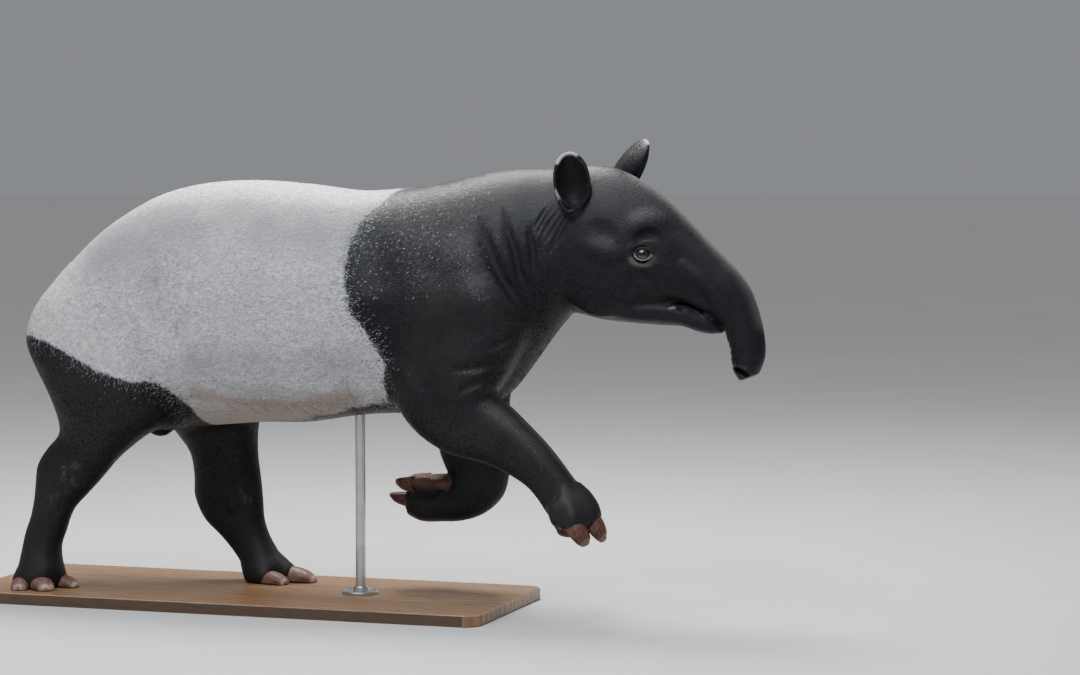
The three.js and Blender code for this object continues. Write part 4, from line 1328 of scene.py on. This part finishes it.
class Graph:
    """A material's nodes, added one call at a time."""

    def __init__(self, name):
        self.material = bpy.data.materials.new(name)
        self.material.use_nodes = True
        self.nodes = self.material.node_tree.nodes
        self.shader = self.nodes["Principled BSDF"]

    def put(self, socket, value):
        if isinstance(value, bpy.types.NodeSocket):
            self.material.node_tree.links.new(value, socket)
        else:
            socket.default_value = value

    def node(self, kind, sockets, output=0, **settings):
        made = self.nodes.new("ShaderNode" + kind)
        for key, value in settings.items():
            setattr(made, key, value)
        for key, value in sockets.items():
            self.put(made.inputs[key], value)
        return made.outputs[output]

    def math(self, operation, a, b=0.0):
        return self.node("Math", {0: a, 1: b}, operation=operation)

    def times(self, a, b):
        return self.math("MULTIPLY", a, b)

    def plus(self, a, b):
        return self.math("ADD", a, b)

    def mix(self, factor, a, b):
        return self.node("Mix", {0: factor, 6: colour_of(a), 7: colour_of(b)}, 2, data_type="RGBA")

    def between(self, value, low, high, to_low=0.0, to_high=1.0):
        sockets = {"Value": value, "From Min": low, "From Max": high, "To Min": to_low, "To Max": to_high}
        return self.node("MapRange", sockets, interpolation_type="SMOOTHSTEP")

    def attribute(self, name):
        return self.node("Attribute", {}, 2, attribute_name=name)

    def place(self, scale):
        return self.node("Mapping", {"Vector": self.node("TexCoord", {}, 3), "Scale": scale})

    def joined(self, *parts):
        return self.node("CombineXYZ", dict(enumerate(parts)))

    def noise(self, place, scale, detail, roughness):
        sockets = {"Vector": place, "Scale": scale, "Detail": detail, "Roughness": roughness}
        return self.node("TexNoise", sockets)

    def grain(self, scale, detail, roughness, stretch=(1, 1, 1)):
        """Noise in the animal's own coordinates, drawn out along the axes that stretch lowers."""
        return self.noise(self.place(stretch), scale, detail, roughness)

    def bump(self, height, strength, distance, **normal):
        return self.node("Bump", {"Height": height, "Strength": strength, "Distance": distance, **normal})

    def finish(self, uniform=None, **varying):
        for name, value in (uniform or {}).items():
            self.shader.inputs[name].default_value = value
        for name, value in varying.items():
            self.put(self.shader.inputs[name.replace("_", " ")], value)
        return self.material


PALE_HAIR = (0.660, 0.660, 0.672)
# painted highlight on the lit top of the saddle
CROWN_HIGHLIGHT = (0.930, 0.930, 0.935)
PALE_SHADE = (0.420, 0.424, 0.440)
# greyer hair, and painted shade in the hip hollow
GREY_AND_SHADE_COLOUR = (0.200, 0.204, 0.220)
WARM_SHADE = (0.290, 0.215, 0.155)
BELLY_SHADE = (0.250, 0.205, 0.175)
BLACK_HAIR = (0.0045, 0.0047, 0.0058)
BLACK_SHEEN = (0.0120, 0.0130, 0.0165)
BROWN_BLACK = (0.0210, 0.0165, 0.0172)
# whitish rims and dust, and painted highlights
WHITE_AND_HIGHLIGHT = (0.56, 0.55, 0.53)
BARE_SKIN = (0.018, 0.017, 0.018)
PAD_SKIN = (0.155, 0.070, 0.052)
EDGE_WANDER = 0.026  # how far the saddle's edge strays, in metres
EDGE_FRAY = 0.024
COAT_FRAY = 0.006


def hair_streaks(graph):
    """Fine streaks along the hair: level on the trunk and upright on the legs."""
    level = graph.grain(330, 3, 0.6, (0.30, 1, 1))
    upright = graph.grain(360, 3, 0.6, (1, 1, 0.30))
    return graph.node("Mix", {0: graph.attribute("limb"), 2: level, 3: upright}, data_type="FLOAT")


def coat_colour(graph, streaks, fray):
    """The markings, shared by skin and coat, with a painted highlight on the lit top of the saddle and
    painted shade in folds, creases and hollows. fray is how much fine noise eats at the saddle's edge.
    """
    wander = graph.grain(26, 3, 0.6)
    edge = graph.plus(graph.attribute("edge"), graph.times(wander, EDGE_WANDER))
    edge = graph.plus(edge, graph.times(streaks, fray))
    middle = (EDGE_WANDER + fray) / 2
    pale_share = graph.between(edge, middle - 0.004, middle + 0.004)
    mottle = graph.grain(95, 4, 0.7, (0.5, 1, 1))
    broad = graph.grain(7, 2, 0.5)
    pale = graph.mix(graph.between(mottle, 0.34, 0.64), PALE_SHADE, PALE_HAIR)
    pale = graph.mix(graph.between(broad, 0.35, 0.75, 0.0, 0.45), pale, PALE_SHADE)
    # greyer hair below the back and on stray pale tufts, painted shade in the hip hollow, darker along the
    # lower flank
    grey_and_shade = graph.times(graph.attribute("grey_and_shade"), graph.between(broad, 0.25, 0.60, 0.60, 1.0))
    pale = graph.mix(grey_and_shade, pale, GREY_AND_SHADE_COLOUR)
    # painted highlight on the up-facing top of the saddle
    pale = graph.mix(graph.attribute("crown"), pale, CROWN_HIGHLIGHT)
    pale = graph.mix(graph.times(graph.attribute("belly"), 0.75), pale, BELLY_SHADE)
    warm = graph.times(graph.attribute("warm"), graph.between(broad, 0.2, 0.6, 0.55, 0.95))
    pale = graph.mix(warm, pale, WARM_SHADE)
    black = graph.mix(graph.between(mottle, 0.35, 0.75), BLACK_HAIR, BLACK_SHEEN)
    brown = graph.times(graph.attribute("limb"), graph.between(broad, 0.3, 0.7, 0.1, 0.8))
    black = graph.mix(brown, black, BROWN_BLACK)
    colour = graph.mix(pale_share, black, pale)
    # Painted shade at the bottom of folds and creases, by the cavity mark.
    painted_crease_shade = graph.mix(pale_share, (0.004, 0.004, 0.005), (0.085, 0.072, 0.062))
    depth = graph.times(graph.attribute("cavity"), graph.between(pale_share, 0, 1, 0.8, 0.85))
    colour = graph.mix(depth, colour, painted_crease_shade)
    # Painted shade, near black, in ear hollows, nostrils, under the brow, along the upper lids and in
    # creases, by the inner mark.
    return graph.mix(graph.times(graph.attribute("inner"), 0.92), colour, 0.002), pale_share


def skin_material():
    graph = Graph("hide")
    streaks = hair_streaks(graph)
    colour, pale_share = coat_colour(graph, streaks, EDGE_FRAY)
    darker = graph.mix(pale_share, (0.006, 0.006, 0.008), (0.19, 0.19, 0.197))
    colour = graph.mix(graph.between(streaks, 0.30, 0.70, 0.0, 0.5), colour, darker)
    bare_share = graph.attribute("bare")
    fine = graph.grain(420, 3, 0.6)
    naked = graph.mix(graph.between(fine, 0.3, 0.7), BARE_SKIN, (0.012, 0.011, 0.012))
    colour = graph.mix(bare_share, colour, naked)
    pad = graph.mix(graph.between(fine, 0.3, 0.75), PAD_SKIN, (0.060, 0.026, 0.020))
    colour = graph.mix(graph.attribute("pad"), colour, pad)
    # whitish rims and dust, and painted highlights on the forehead ridge, the bags under the eyes and the
    # mouth corners
    colour = graph.mix(graph.attribute("light"), colour, WHITE_AND_HIGHLIGHT)
    roughness = graph.mix(bare_share, graph.mix(pale_share, 0.52, 0.85), 0.42)
    roughness = graph.mix(graph.attribute("inner"), roughness, 1.0)
    rough_skin = graph.bump(graph.grain(150, 4, 0.7), 0.28, 0.0014)
    hair = graph.bump(streaks, 0.50, 0.0015, Normal=rough_skin)
    uniform = {"Sheen Weight": 0.02, "Sheen Roughness": 0.40, "Specular IOR Level": 0.22}
    return graph.finish(uniform, Base_Color=colour, Roughness=roughness, Normal=hair)


def coat_material(name, sheen, gloss, least_rough, most_rough):
    graph = Graph(name)
    colour, pale_share = coat_colour(graph, hair_streaks(graph), COAT_FRAY)
    chance = graph.attribute("chance")
    deep = graph.mix(pale_share, (0.003, 0.003, 0.004), (0.26, 0.26, 0.272))
    colour = graph.mix(graph.between(chance, 0.25, 0.85, 0.0, 0.80), deep, colour)
    bright = graph.mix(pale_share, (0.022, 0.024, 0.030), (0.78, 0.78, 0.79))
    glint = graph.times(graph.attribute("tip"), graph.between(chance, 0.45, 1.0, 0.0, 0.85))
    colour = graph.mix(glint, colour, bright)
    # grey flecks, whitish rims and dust, and painted highlights on the forehead ridge, the eye bags and the
    # mouth corners
    colour = graph.mix(graph.attribute("light"), colour, (0.70, 0.69, 0.67))
    roughness = graph.between(chance, 0.0, 1.0, least_rough, most_rough)
    uniform = {"Sheen Weight": sheen, "Sheen Roughness": 0.40, "Specular IOR Level": gloss}
    return graph.finish(uniform, Base_Color=colour, Roughness=roughness)


COAT_MATERIALS = {
    "pale": coat_material("pale_coat", 0.50, 0.30, 0.60, 0.80),
    "dark": coat_material("dark_coat", 0.01, 0.33, 0.34, 0.47),
    "under": coat_material("under_coat", 0.00, 0.05, 0.75, 0.95),
}


def horn_material(name, deep, light, worn):
    """Horn with growth rings across it and fine streaks along it, paler and scuffed at the edge."""
    graph = Graph(name)
    along = graph.attribute("along")
    around = graph.attribute("around")
    streaks = graph.noise(graph.joined(graph.times(along, 0.8), graph.times(around, 9.0)), 3.2, 4, 0.65)
    rings = graph.noise(graph.joined(graph.times(along, 7.0), around), 2.4, 3, 0.6)
    grime = graph.grain(60, 4, 0.65)
    colour = graph.mix(graph.between(streaks, 0.35, 0.65), deep, light)
    colour = graph.mix(graph.between(rings, 0.45, 0.70, 0.0, 0.5), colour, deep)
    edge = graph.times(graph.between(along, 0.72, 1.0), graph.between(grime, 0.3, 0.6))
    colour = graph.mix(edge, colour, worn)
    colour = graph.mix(graph.between(along, 0.16, 0.02, 0.0, 0.8), colour, (0.016, 0.013, 0.012))
    roughness = graph.between(grime, 0.3, 0.7, 0.36, 0.62)
    fine = graph.bump(streaks, 0.45, 0.0007, Normal=graph.bump(rings, 0.5, 0.0012))
    return graph.finish({"Specular IOR Level": 0.32}, Base_Color=colour, Roughness=roughness, Normal=fine)


def eye_material():
    """A dark brown iris with a long level pupil, under a wet clear coat."""
    graph = Graph("eye")
    level = graph.attribute("level")
    high = graph.attribute("high")
    wide = graph.math("POWER", graph.math("ABSOLUTE", graph.math("DIVIDE", level, 0.0085)), 2.0)
    tall = graph.math("POWER", graph.math("ABSOLUTE", graph.math("DIVIDE", high, 0.0048)), 2.0)
    pupil = graph.between(graph.plus(wide, tall), 1.15, 0.85)
    out = graph.math("SQRT", graph.plus(graph.times(level, level), graph.times(high, high)))
    angle = graph.math("ARCTAN2", high, level)
    fibres = graph.noise(graph.joined(graph.times(angle, 6.0), graph.times(out, 120.0)), 2.0, 4, 0.7)
    iris = graph.mix(graph.between(fibres, 0.3, 0.7), (0.010, 0.006, 0.0045), (0.030, 0.017, 0.011))
    iris = graph.mix(graph.between(out, 0.0100, 0.0135), iris, (0.006, 0.005, 0.005))
    veins = graph.grain(260, 4, 0.7)
    white = graph.mix(graph.between(veins, 0.4, 0.7), (0.055, 0.045, 0.042), (0.090, 0.045, 0.038))
    colour = graph.mix(graph.between(out, 0.0146, 0.0158), iris, white)
    colour = graph.mix(pupil, colour, 0.002)
    wet = graph.between(veins, 0.3, 0.7, 0.14, 0.24)
    uniform = {"Coat Weight": 0.35, "Coat Roughness": 0.09, "Specular IOR Level": 0.5}
    return graph.finish(uniform, Base_Color=colour, Roughness=wet)


BOARD_WIDTH = 0.180


def timber_material():
    """Oiled oak in three boards, with grain along X, pores and a thin dark joint between boards."""
    graph = Graph("timber")
    axes = graph.node("SeparateXYZ", {0: graph.node("TexCoord", {}, 3)}, 1)
    across = graph.math("DIVIDE", graph.plus(axes, BOARD_WIDTH * 1.5), BOARD_WIDTH)
    board = graph.math("FLOOR", across)
    tone = graph.node("TexWhiteNoise", {"W": board}, noise_dimensions="1D")
    shift = graph.joined(graph.times(board, 3.7), 0.0, graph.times(board, 1.9))
    coordinates = graph.node("VectorMath", {0: graph.place((0.10, 1, 1)), 1: shift}, operation="ADD")
    warp = graph.times(graph.noise(coordinates, 5, 3, 0.5), 9.0)
    wave = {"Vector": coordinates, "Scale": 9.0, "Distortion": warp, "Detail": 3.0}
    rings = graph.node("TexWave", wave, 1, bands_direction="Y")
    fine = graph.grain(520, 3, 0.6, (0.05, 1, 1))
    pores = graph.grain(210, 2, 0.5, (0.07, 1, 1))
    colour = graph.mix(graph.between(rings, 0.2, 0.9), (0.330, 0.190, 0.090), (0.200, 0.105, 0.046))
    colour = graph.mix(graph.times(tone, 0.35), colour, (0.150, 0.080, 0.038))
    colour = graph.mix(graph.between(fine, 0.35, 0.7, 0.0, 0.45), colour, (0.120, 0.062, 0.028))
    colour = graph.mix(graph.between(pores, 0.60, 0.72, 0.0, 0.7), colour, (0.050, 0.026, 0.013))
    from_joint = graph.math("ABSOLUTE", graph.math("SUBTRACT", graph.math("FRACT", across), 0.5))
    joint = graph.times(graph.between(from_joint, 0.4955, 0.4985), 0.8)
    colour = graph.mix(joint, colour, (0.022, 0.012, 0.007))
    roughness = graph.between(pores, 0.3, 0.75, 0.34, 0.55)
    grooves = graph.bump(graph.between(from_joint, 0.4940, 0.4990, 1.0, 0.0), 0.5, 0.0010)
    grain = graph.bump(graph.plus(fine, graph.times(pores, -1.6)), 0.25, 0.0006, Normal=grooves)
    uniform = {"Coat Weight": 0.12, "Coat Roughness": 0.25}
    return graph.finish(uniform, Base_Color=colour, Roughness=roughness, Normal=grain)


def steel_material():
    """Brushed stainless steel, its scratches running round the rod."""
    graph = Graph("steel")
    brushed = graph.grain(45, 4, 0.7, (1, 1, 26))
    smears = graph.grain(16, 3, 0.6)
    colour = graph.mix(graph.between(smears, 0.3, 0.7), (0.56, 0.57, 0.58), (0.47, 0.475, 0.48))
    roughness = graph.between(graph.plus(brushed, smears), 0.6, 1.4, 0.24, 0.44)
    fine = graph.bump(brushed, 0.12, 0.0003)
    return graph.finish({"Metallic": 1.0}, Base_Color=colour, Roughness=roughness, Normal=fine)


def floor_material():
    graph = Graph("floor")
    cloud = graph.between(graph.grain(1.6, 4, 0.6), 0.3, 0.7)
    colour = graph.mix(cloud, (0.446, 0.449, 0.453), (0.462, 0.465, 0.469))
    return graph.finish({"Roughness": 0.9, "Specular IOR Level": 0.2}, Base_Color=colour)


def lash_material():
    graph = Graph("lash")
    speckle = graph.grain(800, 2, 0.5)
    colour = graph.mix(speckle, (0.010, 0.009, 0.009), (0.030, 0.026, 0.024))
    return graph.finish({"Roughness": 0.4}, Base_Color=colour)


# Eyes, lashes and hooves
def dress(piece, material, slot, *nodes):
    """Turns a closed piece's faces outwards, gives it its material and body, and hides the nodes that it
    stands for. slot is not used.
    """
    mesh = piece.data
    corners = (mesh_points(mesh) + ORIGIN)[mesh_triangles(mesh)]
    if (corners[:, 0] * np.cross(corners[:, 1], corners[:, 2])).sum() < 0:
        mesh.flip_normals()
    mesh.materials.append(material)
    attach(piece, "root")
    if nodes:
        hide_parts(*nodes)


def make_eye(side, material):
    ahead, up, out = eye_axes(side)
    whole = ball((0, 0, 0), EYE_RADIUS, 64)
    places = whole.points
    from_axis = np.linalg.norm(places[:, :2], axis=1) / CORNEA_RADIUS
    swell = clamped(1 - from_axis**2) * (places[:, 2] > 0) * CORNEA_RISE
    places = places * (1 + swell / EYE_RADIUS)[:, None]
    eye = mesh_object("eyeball_" + SIDES[side], places @ np.stack([ahead, up, out]), whole.faces)
    set_attribute(eye.data, "level", places[:, 0])
    set_attribute(eye.data, "high", np.where(places[:, 2] > 0, places[:, 1], 0.02))
    eye.data.transform(Matrix.Translation(Vector(eye_middle(side))))
    dress(eye, material, "eye", "eye_" + SIDES[side])


def make_lashes(side, material):
    """Short stiff lashes along the upper lid, each a thin three-sided spike that bends up."""
    ahead, up, out = eye_axes(side)
    points = []
    faces = []
    roots = lid_line(side, 0.35, TAU / 2 - 0.5, 0.0035, LASHES)
    for index, root in enumerate(roots):
        lean = (root - eye_middle(side)) @ ahead / EYE_HALF_LENGTH
        way = unit(out * 0.9 + ahead * 0.5 * lean - up * 0.25)
        length = LASH_LENGTH * rng.uniform(0.75, 1.1)
        for along, width in ((0.0, 1.0), (0.5, 0.75)):
            middle = root + out * 0.002 + way * length * along + up * length * 0.35 * along**2
            for k in range(3):
                turn = TAU * k / 3
                points.append(middle + LASH_WIDTH * width * (math.cos(turn) * ahead + math.sin(turn) * up))
        points.append(root + out * 0.002 + way * length + up * length * 0.35)
        first = 7 * index
        for k in range(3):
            a, b = first + k, first + (k + 1) % 3
            faces += [(a, b, b + 3), (a, b + 3, a + 3), (a + 3, b + 3, first + 6)]
        faces.append((first + 2, first + 1, first))
    lashes = mesh_object("lashes_" + SIDES[side], points, faces)
    dress(lashes, material, "hide")


def make_hoof(leg, number, toe, material):
    size = toe.size
    rings, middles = loft_rings(hoof_sections(toe), sides=HOOF_SIDES, steps=14)
    along = np.linspace(0, 1, len(rings))
    ripple = 1 - RING_DEPTH / (0.02 * size) * (0.5 + 0.5 * np.cos(TAU * HOOF_RINGS * along)) * (along < 0.92)
    rings = middles[:, None] + (rings - middles[:, None]) * ripple[:, None, None]
    tip = dome(rings[-1], middles[-1], np.array([1.0, 0, 0]), 0.006 * size)
    whole = closed_shape(np.stack([*rings, *tip]), middles[0], middles[-1] + (0.006 * size, 0, 0))
    hoof = mesh_object(f"hoof_{leg}_{number}", *placed(whole, toe.axes, toe.at))
    count = len(rings) + len(tip)
    lengthwise = np.repeat(clamped(np.arange(count) / (len(rings) - 1)), HOOF_SIDES)
    angle = np.tile(np.abs(np.linspace(-1, 1, HOOF_SIDES, endpoint=False)), count)
    set_attribute(hoof.data, "along", np.append(lengthwise, (0, 1)))
    set_attribute(hoof.data, "around", np.append(angle, (0.5, 0.5)))
    dress(hoof, material, "hoof_horn", f"{leg}_hoof_{number}")


# The stand's metal
SCREW_COUNT = 3
SCREW_RADIUS = 0.0052
SCREW_HEIGHT = 0.0024
SCREW_EDGE = 0.0006
SOCKET_RADIUS = 0.0028


def lathe(name, profile, middle, sides, material, *nodes):
    """A turned piece about an upright axis, from (radius, height) points bottom to top."""
    angle = np.arange(sides) * TAU / sides
    ring = np.stack([np.cos(angle), np.sin(angle), np.zeros(sides)], -1)
    rings = np.stack([ring * radius + (0, 0, height) for radius, height in profile])
    shape = closed_shape(rings, (0, 0, profile[0][1]), (0, 0, profile[-1][1]))
    piece = mesh_object(name, shape.points + middle, shape.faces)
    piece.data.set_sharp_from_angle(angle=math.radians(32))
    dress(piece, material, "stand_steel", *nodes)


def make_stand_metal(material):
    flange_low, flange_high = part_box("stand_flange")
    rod_low, rod_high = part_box("stand_rod")
    middle = np.array([(rod_low.x + rod_high.x) / 2, (rod_low.y + rod_high.y) / 2, 0]) - ORIGIN
    middle[2] = 0
    flange_radius = (flange_high.x - flange_low.x) / 2
    rod_radius = (rod_high.x - rod_low.x) / 2
    bottom = flange_low.z - ORIGIN[2]
    top = flange_high.z - ORIGIN[2]
    flange = [
        (flange_radius, bottom), (flange_radius, top - 0.002), (flange_radius - 0.002, top),
        (rod_radius + 0.006, top), (rod_radius + 0.0055, top + 0.009), (rod_radius + 0.004, top + 0.011),
        (rod_radius + 0.0004, top + 0.011),
    ]
    lathe("flange", flange, middle, 96, material, "stand_flange")
    rod = [(rod_radius, bottom), (rod_radius, rod_high.z - ORIGIN[2])]
    lathe("rod", rod, middle, 64, material, "stand_rod")
    screw = [
        (SCREW_RADIUS, -0.001), (SCREW_RADIUS, SCREW_HEIGHT - SCREW_EDGE),
        (SCREW_RADIUS - SCREW_EDGE, SCREW_HEIGHT), (SOCKET_RADIUS, SCREW_HEIGHT), (SOCKET_RADIUS, SCREW_EDGE),
    ]
    away = (flange_radius + rod_radius + 0.006) / 2
    for k in range(SCREW_COUNT):
        angle = TAU * (k + 0.25) / SCREW_COUNT
        place = middle + (away * math.cos(angle), away * math.sin(angle), top)
        lathe(f"screw_{k + 1}", screw, place, 36, material)


# Camera, floor and light
CAMERA_TURN = math.radians(18)
CAMERA_RISE = math.radians(4)
CAMERA_DISTANCE = 8.2
CAMERA_TARGET = np.array([0.41, 0.0, 0.667])
SENSOR_WIDTH = 36.0
FRAME_WIDTH_AT_TARGET = 2.7  # metres across the image where the animal stands
FLOOR_RADIUS = 40.0
FLOOR_SIDES = 96


def make_camera():
    level = math.cos(CAMERA_RISE)
    back = np.array([math.sin(CAMERA_TURN) * level, -math.cos(CAMERA_TURN) * level, math.sin(CAMERA_RISE)])
    data = bpy.data.cameras.new("camera")
    data.sensor_width = SENSOR_WIDTH
    data.lens = SENSOR_WIDTH * CAMERA_DISTANCE / FRAME_WIDTH_AT_TARGET
    data.clip_end = 200
    camera = bpy.data.objects.new("camera", data)
    camera.location = CAMERA_TARGET + CAMERA_DISTANCE * back + ORIGIN
    camera.rotation_euler = Vector(-back).to_track_quat("-Z", "Y").to_euler()
    bpy.context.scene.collection.objects.link(camera)
    bpy.context.scene.camera = camera


def make_light(name, kind, energy, colour, toward, place=(0, 0, 0), **settings):
    data = bpy.data.lights.new(name, kind)
    data.energy = energy
    data.color = colour
    for key, value in settings.items():
        setattr(data, key, value)
    lamp = bpy.data.objects.new(name, data)
    lamp.location = place
    lamp.rotation_euler = Vector(toward).to_track_quat("-Z", "Y").to_euler()
    bpy.context.scene.collection.objects.link(lamp)


def area_light(name, place, aim, size, energy, colour):
    toward = Vector(aim) - Vector(place)
    make_light(name, "AREA", energy, colour, toward, place, shape="DISK", size=size)


def light_scene():
    aim = (0.0, 0.0, 0.9)
    warm_white = (1.0, 0.99, 0.97)
    make_light("sky_opening", "SUN", 1.05, warm_white, (0.45, 0.95, -1.6), angle=math.radians(50))
    area_light("overhead", (0.3, -0.5, 4.5), (0.2, -0.2, 0.9), 4.4, 185, (0.96, 0.98, 1.0))
    area_light("rim", (-0.3, 1.0, 3.6), aim, 1.6, 250, (1.0, 0.98, 0.95))
    area_light("front", (0.8, -3.6, 4.6), (0.3, 0, 0.8), 1.9, 150, (0.88, 0.94, 1.0))
    area_light("rear", (1.8, 4.5, 2.4), aim, 2.4, 15, (1, 1, 1))
    world = bpy.data.worlds.new("studio")
    bpy.context.scene.world = world
    world.use_nodes = True
    background = world.node_tree.nodes["Background"]
    background.inputs["Color"].default_value = (0.84, 0.87, 0.92, 1)
    background.inputs["Strength"].default_value = 0.30


def make_floor(material):
    k = np.arange(FLOOR_SIDES)
    angle = k * TAU / FLOOR_SIDES
    rim = np.stack([np.cos(angle), np.sin(angle), np.zeros(FLOOR_SIDES)], -1) * FLOOR_RADIUS
    points = np.concatenate([rim, np.zeros((1, 3))]) - (0, 0, ORIGIN[2])
    faces = np.stack([k, (k + 1) % FLOOR_SIDES, np.full(FLOOR_SIDES, FLOOR_SIDES)], -1)
    floor = mesh_object("floor", points, faces)
    floor.data.materials.append(material)


def flesh_nodes():
    """The solids that the skin stands for."""
    apart = ("stand_", "eye_")
    return [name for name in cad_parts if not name.startswith(apart) and "_hoof_" not in name]


def main():
    make_camera()
    light_scene()
    make_floor(floor_material())
    skin = make_skin()
    marks = mark_skin(skin.data)
    dress(skin, skin_material(), "hide", *flesh_nodes())
    make_coat(skin.data, marks)
    eye = eye_material()
    lash = lash_material()
    for side in SIDES:
        make_eye(side, eye)
        make_lashes(side, lash)
    hind_horn = horn_material("hind_horn", (0.070, 0.034, 0.027), (0.205, 0.108, 0.083), (0.36, 0.26, 0.22))
    fore_horn = horn_material("fore_horn", (0.034, 0.014, 0.010), (0.125, 0.052, 0.036), (0.17, 0.10, 0.08))
    for leg, toe_set in TOES.items():
        horn = hind_horn if leg.startswith("hind") else fore_horn
        for number, toe in enumerate(toe_set, 1):
            make_hoof(leg, number, toe, horn)
    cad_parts["stand_base"].material_slots[0].material = timber_material()
    make_stand_metal(steel_material())


main()
